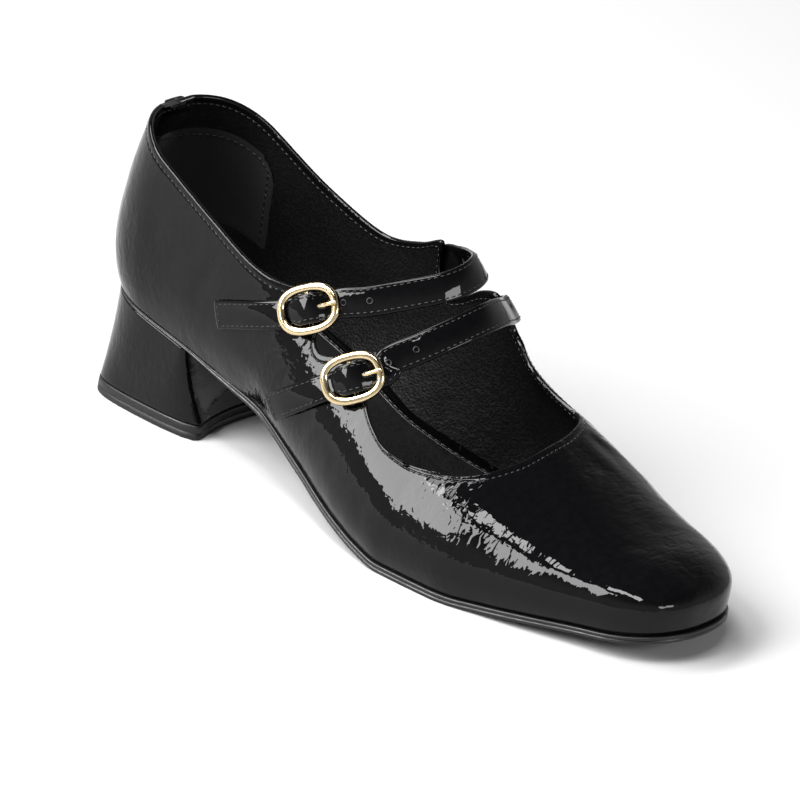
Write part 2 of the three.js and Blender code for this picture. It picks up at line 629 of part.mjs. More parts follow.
// A flat strip along stations with a point and an outward normal each. Its first end is rounded by
// tip, a radius, when there is one.
function strip(name, stations, { width, thick }, look, tip = 0) {
  const corner = thick * 0.3;
  let walked = 0;
  const loops = stations.map(({ point, normal }, k) => {
    const before = stations[Math.max(0, k - 1)].point;
    const after = stations[Math.min(stations.length - 1, k + 1)].point;
    if (k > 0) walked += point.distanceTo(before);
    const tangent = after.clone().sub(before).normalize();
    const up = normal.clone().addScaledVector(tangent, -normal.dot(tangent)).normalize();
    const across = tangent.clone().cross(up);
    const short = 1 - clamp(walked / Math.max(tip, 1e-6), 0, 1);
    const half = width / 2 - tip * (1 - Math.sqrt(1 - (0.94 * short) ** 2));
    const profile = [
      [-half + corner, thick / 2], [half - corner, thick / 2],
      [half, thick / 2 - corner], [half, corner - thick / 2],
      [half - corner, -thick / 2], [corner - half, -thick / 2],
      [-half, corner - thick / 2], [-half, thick / 2 - corner],
    ];
    return profile.map(([w, h]) =>
      point.clone().addScaledVector(across, w).addScaledVector(up, h));
  });
  return loftLoops(name, loops, look);
}

const resample = (list, count) => {
  const pointPath = new THREE.CatmullRomCurve3(list.map((s) => s.point), false, "centripetal");
  const normalPath = new THREE.CatmullRomCurve3(list.map((s) => s.normal), false, "centripetal");
  return Array.from({ length: count + 1 }, (_, k) => ({
    point: pointPath.getPoint(k / count),
    normal: normalPath.getPoint(k / count).normalize(),
  }));
};

// Stations of a flat strip laid on one side of the upper along a list of places. Each is lifted
// until the whole width of the strip clears the curved surface.
function laidOn(side, places, { width, thick }) {
  const stations = places.map(({ u, z }) => onQuarter(side, u, z, GAP + thick / 2));
  return stations.map(({ point, normal }, k) => {
    const before = stations[Math.max(0, k - 1)].point;
    const after = stations[Math.min(stations.length - 1, k + 1)].point;
    const across = after.clone().sub(before).cross(normal).normalize();
    const short = [-1, -0.5, 0.5, 1].map((w) => {
      const under = point.clone().addScaledVector(across, w * width / 2)
        .addScaledVector(normal, -thick / 2 - GAP);
      const skin = lastPoint(side, under.y, qAtHeight(side, under.y, under.z));
      return skin.sub(under).dot(normal);
    });
    return { point: point.clone().addScaledVector(normal, Math.max(0, ...short) + 0.05), normal };
  });
}

function buckleFrame(buckle) {
  const along = vector(buckle.along).normalize();
  const outward = vector(buckle.outward);
  outward.addScaledVector(along, -outward.dot(along)).normalize();
  const across = along.clone().cross(outward).normalize();
  const middle = vector(buckle.middle);
  return { along, outward, across, middle };
}

const at = ({ middle, along, across, outward }, a, w, h) =>
  middle.clone().addScaledVector(along, a).addScaledVector(across, w).addScaledVector(outward, h);

// The strap's tip lies in the ring, rises over the centre bar and goes down under the ring's far end.
function strap(name, data, buckle) {
  const axes = buckleFrame(buckle);
  const inBuckle = [
    { a: -6.6, h: -1.1 }, { a: -4.4, h: -0.2 }, { a: -2, h: 0.7 }, { a: 0, h: 0.95 },
    { a: 2.2, h: 0.5 }, { a: 4.6, h: -1.1 }, { a: 6.2, h: -2 }, { a: 8.2, h: -2.45 },
    { a: 10.4, h: -2.55 },
  ].map(({ a, h }) => ({ point: at(axes, a, 0, h), normal: axes.outward.clone() }));
  const axis = vector(data.axis);
  const over = data.route.map(vector).map((point) => ({
    point,
    normal: point.clone().sub(axis).normalize(),
  }));
  const sewn = laidOn(SIDES.inner, data.sewn, STRAP);
  return strip(name, resample([...inBuckle, ...over, ...sewn], 42), STRAP, patent, TIP_RADIUS);
}

function tab(buckle) {
  const axes = buckleFrame(buckle);
  const sewn = laidOn(SIDES.outer, buckle.sewn, TAB);
  const tip = { point: at(axes, -0.6, 0, -2.75), normal: axes.outward.clone() };
  return strip(buckle.tab, resample([...sewn, tip], 16), TAB, patent);
}

// A racetrack ring of slightly flattened wire with a straight bar across its middle.
function ring(buckle) {
  const axes = buckleFrame(buckle);
  const steps = 28;
  const sides = 8;
  const radius = RING.wire / 2;
  const halfLong = RING.length / 2 - radius;
  const halfWide = RING.width / 2 - radius;
  const power = 2 / 2.6;
  const loops = Array.from({ length: steps }, (_, k) => {
    const turn = 2 * Math.PI * k / steps;
    const [c, s] = [Math.cos(turn), Math.sin(turn)];
    const a = halfLong * Math.sign(c) * Math.abs(c) ** power;
    const w = halfWide * Math.sign(s) * Math.abs(s) ** power;
    const out = at(axes, a / halfLong, w / halfWide, 0).sub(axes.middle).normalize();
    return Array.from({ length: sides }, (__, i) => {
      const roll = 2 * Math.PI * i / sides;
      return at(axes, a, w, Math.sin(roll) * radius * RING.flat)
        .addScaledVector(out, Math.cos(roll) * radius);
    });
  });
  const rows = loops.map((loop, k) => loop.map((_, i) => k * sides + i));
  const faces = rows.flatMap((row, k) => band(row, rows[(k + 1) % steps], true));
  const barLoops = [-1, -0.8, 0.8, 1].map((t) => Array.from({ length: 6 }, (_, i) => {
    const roll = Math.PI * i / 3;
    const reach = BAR.thick / 2;
    const drop = Math.abs(t) < 1 ? BAR.drop : BAR.drop / 3;
    return at(axes, Math.cos(roll) * reach, t * halfWide, -drop + Math.sin(roll) * reach);
  }));
  return joined(buckle.frame, { points: loops.flat(), faces }, loftBody(barLoops), gold);
}

// The prong comes up through the strap and rests on the ring's far end.
function prong(buckle) {
  const axes = buckleFrame(buckle);
  const rest = RING.wire / 2 * RING.flat + GAP + PRONG / 2;
  const path = [
    at(axes, 4.6, 0, 1.05), at(axes, 5.8, 0, 1.2), at(axes, 7.6, 0, rest - 0.1),
    at(axes, 8.8, 0, rest + 0.1), at(axes, 9.9, 0, rest - 0.05),
  ];
  const stations = path.map((point) => ({ point, normal: axes.outward.clone() }));
  return strip(buckle.prong, resample(stations, 8), { width: PRONG, thick: PRONG }, gold);
}

// ---------------------------------------------------------------- the shoe
const shoe = new THREE.Group();
shoe.add(upper(), outsole(), insole(), heelBlock(), heelLift());
Object.entries(STRAPS).forEach(([name, data], i) => shoe.add(strap(name, data, BUCKLES[i])));
for (const buckle of BUCKLES) shoe.add(tab(buckle), ring(buckle), prong(buckle));

export default shoe;
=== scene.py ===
"""The looks of a right-foot mary jane: patent upper with its lining, edges, seams and creases,
thin sole, padded insole, block heel, straps, tabs and centre-bar buckles. Working frame as in the
part's source: x to the inner side, u forward from the back of the heel, z up, in millimetres."""
import math

import bmesh
import bpy
import numpy as np
from mathutils import Matrix, Vector


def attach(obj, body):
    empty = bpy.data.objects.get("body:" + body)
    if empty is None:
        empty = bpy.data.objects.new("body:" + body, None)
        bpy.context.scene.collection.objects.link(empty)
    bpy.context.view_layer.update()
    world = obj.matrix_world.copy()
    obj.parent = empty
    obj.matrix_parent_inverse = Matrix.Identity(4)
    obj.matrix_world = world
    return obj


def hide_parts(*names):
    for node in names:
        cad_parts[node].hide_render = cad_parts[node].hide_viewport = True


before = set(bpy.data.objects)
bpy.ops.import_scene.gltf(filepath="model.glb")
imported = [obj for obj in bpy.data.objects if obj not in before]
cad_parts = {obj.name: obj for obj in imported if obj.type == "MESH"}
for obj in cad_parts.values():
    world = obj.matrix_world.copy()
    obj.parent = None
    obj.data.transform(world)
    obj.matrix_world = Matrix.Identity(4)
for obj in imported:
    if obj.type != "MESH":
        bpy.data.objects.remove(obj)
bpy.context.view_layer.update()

LENGTH, FRAME_X, FRAME_U = 248.0, 3.29, 124.0
WALL, GAP, INSOLE_THICK = 1.6, 0.3, 3.2
BREAST, LIFT_THICK = 47.0, 5.0
STRAP, TAB = (9.6, 1.8), (9.2, 1.4)
RING = dict(length=20.6, width=16.2, wire=2.3, flat=0.83)
TIP_RADIUS = 4.2
FOOT = dict(x=-0.6, half=25.2, front=55, back=4.2)      # the heel's outline on the floor
TOP_STITCH = dict(pitch=2.2, length=1.6)
BACK_STITCH = dict(pitch=2.3, length=1.6)
STRAP_STITCH = dict(pitch=2.15, length=1.55, radius=0.24)

# ---------------- tables of the last
SOLE = [  # u, underside, thickness
    (0, 38.4, 1.1), (10, 38.1, 1.1), (20, 36.4, 1.1), (32, 33.9, 1.1), (47, 30.7, 1.3),
    (61, 26.7, 1.9), (75, 22.7, 2.6), (90, 18.2, 2.8), (109, 11.4, 2.8), (128, 5.1, 2.8),
    (140, 1.9, 2.8), (152, 0, 2.8), (178, 0, 2.8), (190, 0.9, 2.7), (205, 2.6, 2.6),
    (220, 4.3, 2.5), (235, 6, 2.4), (248, 7.8, 2.4),
]
OUTER = [  # u, half width, tuck, belt height, crown height, roundness
    (0, 29.5, 3, 57, 130, 2), (30, 29.5, 3, 55, 130, 2), (50, 30, 3.5, 51, 128, 2),
    (66, 30.8, 4.5, 46.5, 118, 2), (80, 31.5, 5.5, 42, 98, 2), (88, 32.5, 4.6, 37.6, 84, 2),
    (97, 33.7, 3.4, 33, 74.5, 2), (105, 35, 2.6, 29, 68.5, 2), (119, 38.7, 2, 22, 61.5, 2),
    (128, 41, 1.8, 17, 60, 2), (140, 43.5, 1.8, 13.5, 54.6, 2), (150, 44.8, 1.8, 12, 49.5, 2),
    (172, 44.2, 1.8, 11.5, 43, 2.1), (190, 40, 1.8, 12, 36.6, 2.2), (206, 35.6, 1.8, 13, 31.8, 2.3),
    (220, 31, 1.6, 14.5, 28.6, 2.4), (235, 27, 1.4, 16, 26.2, 2.5), (248, 24, 1.2, 17.5, 24.5, 2.5),
]
INNER = [
    (0, 29, 3, 57, 130, 2), (30, 29, 3, 55, 130, 2), (50, 29.8, 4.5, 52, 130, 2),
    (80, 32, 8.5, 52, 127, 2), (105, 33.2, 11.5, 54, 99, 2.2), (117, 34.4, 10.2, 50, 87, 2.4),
    (128, 36, 8.5, 44, 78, 2.6), (140, 38, 6.5, 29, 57, 3), (150, 38.2, 4, 20, 50.5, 3.2),
    (172, 38, 2.2, 13, 43, 3.2), (190, 36.8, 2, 12, 36.6, 3), (206, 32.4, 1.8, 13, 31.8, 3),
    (220, 29, 1.6, 14.5, 28.6, 3), (235, 26.6, 1.4, 16, 26.2, 2.8), (248, 25, 1.2, 17.5, 24.5, 2.6),
]
RIDGE = [
    (105, 0), (128, 1), (140, 2.5), (150, 4.5), (172, 8), (190, 7), (206, 5), (220, 3), (235, 0),
    (248, -1),
]
BACK_CURVE = [(36, 2.2), (46, 0.6), (58, 0), (78, 2.3), (90, 4.8), (104, 8.3)]
TOPLINE = [  # x, u, z, foot, fan, columns to the next row
    (0, 7.2, 97.6, 0, 0, 4), (-19, 14.8, 95.6, -0.14, 0, 4), (-25, 30, 89, -0.23, 0, 5),
    (-27, 52, 79.5, -0.31, 0, 4), (-28, 75, 70.2, -0.38, 0, 3), (-24, 87.5, 68.2, -0.392, 0, 3),
    (-19, 94, 69.1, -0.405, 0, 3), (-14.8, 99, 69, -0.418, 0, 3), (-21, 100.2, 63, -0.427, 0, 3),
    (-26.4, 100.6, 56.2, -0.436, 0, 3), (-28, 104, 52.6, -0.452, 0, 3),
    (-26, 110, 53, -0.474, 0, 3), (-22, 115.8, 55.2, -0.487, 0, 2),
    (-17.8, 119.8, 56.4, -0.497, 0, 3), (-23, 122.4, 52.4, -0.506, 0, 3),
    (-30.4, 127, 46, -0.526, 0, 4), (-33.8, 140, 37, -0.58, 0.1, 4),
    (-33.6, 153, 33.8, -0.64, 0.5, 5), (-27, 169.5, 35.5, -0.72, 1, 5),
    (-14, 176.3, 39.5, -0.84, 1, 5), (3, 176.5, 42, -1, 1, 5), (16, 174.3, 42, -1.13, 1, 5),
    (25.5, 169, 41.6, -1.24, 1, 5), (28, 158, 44.6, -1.33, 0.5, 4), (31, 143, 49.6, -1.41, 0.1, 4),
    (34.5, 133, 54.2, -1.458, 0, 3), (33, 129.6, 59.6, -1.478, 0, 3), (32.5, 125, 66, -1.495, 0, 3),
    (33.5, 117.5, 64.2, -1.518, 0, 3), (34, 110.5, 59.4, -1.535, 0, 2),
    (33.5, 104, 57.3, -1.552, 0, 3), (33, 100.4, 60.2, -1.56, 0, 3), (32.5, 99.8, 65, -1.571, 0, 2),
    (31.5, 100.2, 70, -1.58, 0, 3), (30, 101, 76, -1.589, 0, 3), (32.5, 91, 71.6, -1.613, 0, 3),
    (32, 77, 68.8, -1.66, 0, 4), (30, 54, 76.3, -1.71, 0, 4), (27, 31, 88, -1.78, 0, 4),
    (19, 14.8, 95.6, -1.87, 0, 5),
]
# A point inside the leg, the route over the instep, where it is sewn to the inner ear (u, z).
STRAPS = {
    "ankle": dict(
        axis=(4, 93, 52),
        route=[(-17.2, 112, 70.9), (-8.4, 121.8, 75), (0.4, 128.5, 78), (8.5, 130.4, 79.8),
               (17.2, 127.4, 80), (25, 119, 76.9), (31.2, 109.6, 73)],
        sewn=[(103, 70.2), (97.5, 66.8), (92, 62.9), (87, 59)], holes=(19.1, 27.6)),
    "instep": dict(
        axis=(4, 108, 38),
        route=[(-21.8, 127.9, 57.4), (-12.5, 132.9, 62.2), (-2, 137.3, 66.6), (8.6, 139, 69),
               (18.6, 137, 68), (27.6, 132.8, 64.6)],
        sewn=[(128.6, 62), (123.5, 58.6), (118, 54.8), (112.5, 50.8)], holes=(20.6, 30)),
}
TIP_RUN = [  # the strap's tip in its buckle: along it, height above the ring's middle
    (-6.6, -1.1), (-4.4, -0.2), (-2, 0.7), (0, 0.95), (2.2, 0.5), (4.6, -1.1), (6.2, -2),
    (8.2, -2.45), (10.4, -2.55),
]
BUCKLES = {  # middle of the ring, along the strap, outward, where the tab is sewn (u, z)
    "ankle": dict(
        middle=(-28.2, 97.7, 65.6), along=(0.455, 0.79, 0.41), outward=(-0.88, 0.24, 0.41),
        sewn=[(63.5, 51.1), (70, 53.6), (77, 56.1), (84, 58.5), (89.5, 60.4), (93, 62.4)]),
    "instep": dict(
        middle=(-31.5, 121.9, 52.1), along=(0.56, 0.715, 0.42), outward=(-0.822, 0.363, 0.439),
        sewn=[(92.3, 30.7), (98, 34.8), (104.5, 39.4), (110.5, 43.6), (114, 45.9)]),
}
# Creases in the upper, listed one by one: from (x, u, z), to (x, u, z), half width, depth. A depth
# below
# 0 is a raised fold.
CREASES = [
    ((27, 170, 41), (33, 181, 30), 2.2, 0.34), ((24, 173, 42), (28, 188, 33), 2.0, -0.24),
    ((21, 175, 42), (22, 194, 35), 2.6, 0.26), ((31, 160, 42), (37, 166, 28), 2.4, 0.3),
    ((32, 150, 45), (38, 156, 30), 2.2, -0.22), ((13, 178, 41.5), (14, 199, 34), 3.4, 0.2),
    ((-27, 172, 34), (-33, 182, 26), 2.4, 0.3), ((-31, 163, 33), (-40, 170, 22), 2.2, -0.24),
    ((-33, 153, 33), (-42, 157, 20), 2.2, 0.3), ((-34, 144, 34), (-42, 142, 18), 2.4, 0.26),
    ((-14, 180, 39), (-18, 197, 31), 3.2, 0.2), ((-31, 128, 42), (-40, 124, 22), 2.2, 0.24),
    ((-31, 118, 40), (-37, 108, 24), 2.4, -0.2), ((-31, 101, 50), (-33, 92, 38), 2.2, 0.26),
    ((-29, 84, 66), (-30, 74, 50), 2.6, 0.24), ((-27, 60, 72), (-30, 52, 52), 3.2, 0.26),
    ((31, 84, 66), (33, 76, 46), 2.8, 0.26), ((33, 112, 55), (36, 116, 34), 2.4, 0.24),
    ((29, 60, 70), (31, 50, 48), 3.2, 0.28), ((-24, 26, 86), (-29, 32, 60), 3.6, 0.22),
    ((24, 26, 86), (29, 34, 58), 3.6, 0.24), ((-20, 12, 80), (-22, 10, 56), 3.4, 0.16),
]


# ---------------- curves through tables
def curve(rows, key, by=0):
    """A curve through one column of a table that never overshoots its rows (monotone cubic)."""
    x = np.array([r[by] for r in rows], float)
    y = np.array([r[key] for r in rows], float)
    slope = np.diff(y) / np.diff(x)
    tangent = np.concatenate([slope[:1], np.zeros(len(x) - 2), slope[-1:]])
    for i in range(1, len(x) - 1):
        a, b = slope[i - 1], slope[i]
        if a * b > 0:
            wide, narrow = x[i + 1] - x[i], x[i] - x[i - 1]
            w1, w2 = 2 * wide + narrow, wide + 2 * narrow
            tangent[i] = (w1 + w2) / (w1 / a + w2 / b)

    def value(at):
        p = np.clip(at, x[0], x[-1])
        i = np.clip(np.searchsorted(x, p, side="left") - 1, 0, len(slope) - 1)
        span = x[i + 1] - x[i]
        t = (p - x[i]) / span
        t2, t3 = t * t, t * t * t
        return ((2 * t3 - 3 * t2 + 1) * y[i] + (t3 - 2 * t2 + t) * span * tangent[i]
                + (3 * t2 - 2 * t3) * y[i + 1] + (t3 - t2) * span * tangent[i + 1])
    return value


sole_bottom, sole_thick = curve(SOLE, 1), curve(SOLE, 2)
ridge, back_shift = curve(RIDGE, 1), curve(BACK_CURVE, 1)
NAMES = ("half", "tuck", "belt", "crown", "round")
OUT = {n: curve(OUTER, k + 1) for k, n in enumerate(NAMES)}
INN = {n: curve(INNER, k + 1) for k, n in enumerate(NAMES)}


def seat(u):
    return sole_bottom(u) + sole_thick(u) + GAP


def of_side(side, u, name):
    return np.where(side < 0, OUT[name](u), INN[name](u))


def smooth(t):
    return t * t * (3 - 2 * t)


def rounding(t, power):
    return (1 - np.clip(t, 0, 1) ** power) ** (1 / power)


def belt_half(side, u):
    close = np.where(side < 0, 226.0, 218.0)
    back = rounding((27 - u) / 27, 2.2)
    front = rounding((u - close) / (LENGTH - close), 2.5)
    return (of_side(side, u, "half") - side * ridge(u)) * np.minimum(back, front)


def crown_height(side, u):
    belt = of_side(side, u, "belt")
    return belt + (of_side(side, u, "crown") - belt) * rounding((u - 227) / (LENGTH - 227), 2.5)


def last(side, u, q):
    """Points of the last's outside. side is -1 outer or 1 inner. q runs from -1 at the bottom edge
    through 0 at the widest level to 1 on the ridge."""
    side, u, q = np.broadcast_arrays(*(np.asarray(v, float) for v in (side, u, q)))
    reach, belt = belt_half(side, u), of_side(side, u, "belt")
    low = np.minimum(q, 0)
    angle = np.clip(q, 0, 1) * np.pi / 2
    power = 2 / of_side(side, u, "round")
    tucked = of_side(side, u, "tuck") * low * low * np.minimum(1, reach / 12)
    out = np.where(q < 0, np.maximum(0, reach - tucked),
                   reach * np.maximum(0, np.cos(angle)) ** power)
    z = np.where(q < 0, belt + (seat(u) - belt) * -low,
                 belt + (crown_height(side, u) - belt) * np.sin(angle) ** power)
    fade = 1 - smooth(np.clip(u / 60, 0, 1))
    return np.stack([ridge(u) + side * out, u + back_shift(z) * fade, z], -1)


def q_height(side, u, z):
    belt = of_side(side, u, "belt")
    rise = np.clip((z - belt) / np.maximum(1e-6, crown_height(side, u) - belt), 0, 1)
    above = np.arcsin(np.clip(rise ** (of_side(side, u, "round") / 2), 0, 1)) / (np.pi / 2)
    return np.where(z < belt, np.clip(-(belt - z) / (belt - seat(u)), -1, 0), above)


def q_plan(side, u, x):
    across = np.clip(side * (x - ridge(u)) / np.maximum(1e-6, belt_half(side, u)), 0, 1)
    return np.arccos(across ** (of_side(side, u, "round") / 2)) / (np.pi / 2)


def unit(v):
    return v / np.maximum(1e-12, np.linalg.norm(v, axis=-1, keepdims=True))


def on_quarter(side, u, z, lift):
    def spot(du, dz):
        return last(side, u + du, q_height(side, u + du, z + dz))
    n = unit(np.cross(spot(0.5, 0) - spot(-0.5, 0), spot(0, 0.5) - spot(0, -0.5)))
    n = n * np.where(n[..., :1] * side < 0, -1, 1)
    return spot(0, 0) + n * lift, n


def spline(points, t, closed=False):
    """Centripetal Catmull-Rom curve through points, t from 0 to 1."""
    p = np.asarray(points, float)
    n = len(p)
    place = np.asarray(t, float) * (n if closed else n - 1)
    i = np.floor(place).astype(int)
    if not closed:
        i = np.minimum(i, n - 2)
    w = (place - i)[..., None]
    if closed:
        a, b, c, d = p[(i - 1) % n], p[i % n], p[(i + 1) % n], p[(i + 2) % n]
    else:
        e = np.concatenate([[2 * p[0] - p[1]], p, [2 * p[-1] - p[-2]]])
        a, b, c, d = e[i], e[i + 1], e[i + 2], e[i + 3]

    def root(v):
        return np.maximum(1e-4, np.linalg.norm(v, axis=-1, keepdims=True) ** 0.5)
    d0, d1, d2 = root(b - a), root(c - b), root(d - c)
    t1 = ((b - a) / d0 - (c - a) / (d0 + d1) + (c - b) / d1) * d1
    t2 = ((c - b) / d1 - (d - b) / (d1 + d2) + (d - c) / d2) * d1
    return b + t1 * w + (-3 * b + 3 * c - 2 * t1 - t2) * w ** 2 + (2 * b - 2 * c + t1 + t2) * w ** 3


def walked(points, closed=False):
    p = np.concatenate([points, points[:1]]) if closed else points
    return np.concatenate([[0], np.cumsum(np.linalg.norm(np.diff(p, axis=0), axis=1))])


def spaced(points, count, closed=False):
    """count points evenly spaced along a line of points."""
    p = np.concatenate([points, points[:1]]) if closed else points
    s = walked(points, closed)
    at = np.linspace(0, s[-1], count, endpoint=not closed)
    return np.stack([np.interp(at, s, p[:, k]) for k in range(p.shape[1])], -1)


# ---------------- meshes
def to_frame(p):
    p = np.asarray(p, float)
    return np.stack([p[..., 0] + FRAME_X, FRAME_U - p[..., 1], p[..., 2]], -1) / 1000


def placed(name, data):
    """A new object in the scene."""
    o = bpy.data.objects.new(name, data)
    bpy.context.scene.collection.objects.link(o)
    return o


def piece(name, points, faces, look, slot, stands_for=()):
    """A mesh from points in the working frame, riding on the one body."""
    mesh = bpy.data.meshes.new(name)
    mesh.from_pydata(to_frame(points).tolist(), [], [tuple(reversed(f)) for f in faces])
    mesh.update()
    mesh.polygons.foreach_set("use_smooth", [True] * len(mesh.polygons))
    o = placed(name, mesh)
    mesh.materials.append(look)
    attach(o, "root")
    if stands_for:
        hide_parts(*stands_for)
    return o


def grid_faces(rows, columns, close_rows=False, close_columns=False, offset=0):
    """Quads of a rows x columns grid of points numbered row by row."""
    made = []
    for i in range(rows if close_rows else rows - 1):
        a, b = i * columns, (i + 1) % rows * columns
        for j in range(columns if close_columns else columns - 1):
            k = (j + 1) % columns
            made.append((offset + a + j, offset + b + j, offset + b + k, offset + a + k))
    return made


def outward(o):
    """Turns the faces of a closed piece outward."""
    b = bmesh.new()
    b.from_mesh(o.data)
    bmesh.ops.recalc_face_normals(b, faces=b.faces)
    b.to_mesh(o.data)
    b.free()
    return o


def capped_loft(loops):
    """Points and faces of loops of points joined one to the next, each end closed by a fan."""
    rows, size = loops.shape[:2]
    pts = np.concatenate([loops.reshape(-1, 3), loops[:1].mean(1), loops[-1:].mean(1)])
    faces = grid_faces(rows, size, close_columns=True)
    a, b = rows * size, rows * size + 1
    for j in range(size):
        k = (j + 1) % size
        faces.append((j, k, a))
        faces.append(((rows - 1) * size + k, (rows - 1) * size + j, b))
    return pts, faces


def lofted(name, loops, look, slot, stands_for=()):
    """A closed piece through loops of points, with capped ends."""
    return outward(piece(name, *capped_loft(loops), look, slot, stands_for))


def ringed(name, loops, look, slot, stands_for=()):
    """A closed piece through loops of points whose last loop joins the first."""
    faces = grid_faces(*loops.shape[:2], close_rows=True, close_columns=True)
    return outward(piece(name, loops.reshape(-1, 3), faces, look, slot, stands_for))


def circle(n):
    """n angles evenly round a full turn."""
    return np.linspace(0, 2 * np.pi, n + 1)[:-1]


def stitch_row(name, line, normals, look, pitch=2.3, length=1.7, radius=0.27, closed=False,
               lift=0.04, slot="patent"):
    """Thread lying in a row of short stitches along a line on a surface."""
    s = walked(line, closed)
    p = np.concatenate([line, line[:1]]) if closed else line
    m = np.concatenate([normals, normals[:1]]) if closed else normals
    count = max(2, int(s[-1] / pitch))
    mid = (np.arange(count) + 0.5) * s[-1] / count

    def there(at, rows):
        return np.stack([np.interp(at, s, rows[:, k]) for k in range(3)], -1)
    start, end, n = there(mid - length / 2, p), there(mid + length / 2, p), unit(there(mid, m))
    along = unit(end - start)
    across = unit(np.cross(n, along))
    up = np.cross(along, across)
    stations = [(0, 0.2, -0.35), (0.1, 0.75, -0.05), (0.3, 1, 0.22),
                (0.7, 1, 0.22), (0.9, 0.75, -0.05), (1, 0.2, -0.35)]
    sides = 6
    turns = circle(sides)
    pts = []
    for share, size, rise in stations:
        c = start + (end - start) * share + n * (lift + rise * radius)
        for a in turns:
            pts.append(c + (across * math.cos(a) + up * math.sin(a) * 0.8) * radius * size)
    pts = np.stack(pts, 1)
    faces = []
    one = grid_faces(len(stations), sides, close_columns=True)
    one += [tuple(range(sides)), tuple(len(stations) * sides - 1 - v for v in range(sides))]
    for o in range(0, len(stations) * sides * count, len(stations) * sides):
        faces += [tuple(v + o for v in f) for f in one]
    return outward(piece(name, pts.reshape(-1, 3), faces, look, slot))


# ---------------- materials
class Look:
    """A node material built step by step on a Principled shader, in millimetres of the shoe."""

    def __init__(self, name, color, roughness, metallic=0.0, ior=1.5, **sockets):
        self.m = bpy.data.materials.new(name)
        self.m.use_nodes = True
        self.tree = self.m.node_tree
        self.shader = next(n for n in self.tree.nodes if n.type == "BSDF_PRINCIPLED")
        self.shader.inputs["Base Color"].default_value = (*color, 1)
        self.shader.inputs["Roughness"].default_value = roughness
        self.shader.inputs["Metallic"].default_value = metallic
        self.shader.inputs["IOR"].default_value = ior
        for key, value in sockets.items():
            self.shader.inputs[key.replace("_", " ")].default_value = value
        where = self.node("ShaderNodeTexCoord")
        mm = self.node("ShaderNodeVectorMath", operation="SCALE")
        mm.inputs["Scale"].default_value = 1000
        self.link(where.outputs["Object"], mm.inputs[0])
        self.mm = mm.outputs[0]
        self.height = None

    def node(self, kind, **settings):
        n = self.tree.nodes.new(kind)
        for key, value in settings.items():
            setattr(n, key, value)
        return n

    def link(self, a, b):
        self.tree.links.new(a, b)

    def math(self, operation, a, b):
        n = self.node("ShaderNodeMath", operation=operation)
        for socket, value in zip(n.inputs, (a, b)):
            if isinstance(value, (int, float)):
                socket.default_value = value
            else:
                self.link(value, socket)
        return n.outputs[0]

    def stretched(self, scale, turn=(0, 0, 0)):
        n = self.node("ShaderNodeMapping")
        n.inputs["Scale"].default_value = scale
        n.inputs["Rotation"].default_value = turn
        self.link(self.mm, n.inputs["Vector"])
        return n.outputs[0]

    def noise(self, vector, scale, detail=2.0, rough=0.5, twist=0.0):
        n = self.node("ShaderNodeTexNoise")
        n.inputs["Scale"].default_value = scale
        n.inputs["Detail"].default_value = detail
        n.inputs["Roughness"].default_value = rough
        n.inputs["Distortion"].default_value = twist
        self.link(vector, n.inputs["Vector"])
        return n.outputs[0]

    def cells(self, vector, scale):
        n = self.node("ShaderNodeTexVoronoi", feature="F1")
        n.inputs["Scale"].default_value = scale
        self.link(vector, n.inputs["Vector"])
        return n.outputs["Distance"]

    def ramp(self, value, low, high, to_low=0.0, to_high=1.0):
        n = self.node("ShaderNodeMapRange", interpolation_type="SMOOTHSTEP")
        limits = {"From Min": low, "From Max": high, "To Min": to_low, "To Max": to_high}
        for key, v in limits.items():
            n.inputs[key].default_value = v
        self.link(value, n.inputs["Value"])
        return n.outputs[0]

    def near(self, spot, reach):
        """1 at a spot of the part's frame, in millimetres, fading to 0 at reach."""
        n = self.node("ShaderNodeVectorMath", operation="DISTANCE")
        n.inputs[1].default_value = spot
        self.link(self.mm, n.inputs[0])
        return self.ramp(n.outputs["Value"], 0.0, reach, 1.0, 0.0)

    def colors(self, value, dark, light):
        n = self.node("ShaderNodeMix", data_type="RGBA")
        n.inputs[6].default_value = (*dark, 1)
        n.inputs[7].default_value = (*light, 1)
        self.link(value, n.inputs[0])
        self.link(n.outputs[2], self.shader.inputs["Base Color"])

    def roughness(self, value):
        self.link(value, self.shader.inputs["Roughness"])

    def bump(self, height, millimetres, strength=1.0):
        n = self.node("ShaderNodeBump")
        n.inputs["Distance"].default_value = millimetres / 1000
        n.inputs["Strength"].default_value = strength
        self.link(height, n.inputs["Height"])
        if self.height:
            self.link(self.height, n.inputs["Normal"])
        self.height = n.outputs[0]
        self.link(self.height, self.shader.inputs["Normal"])


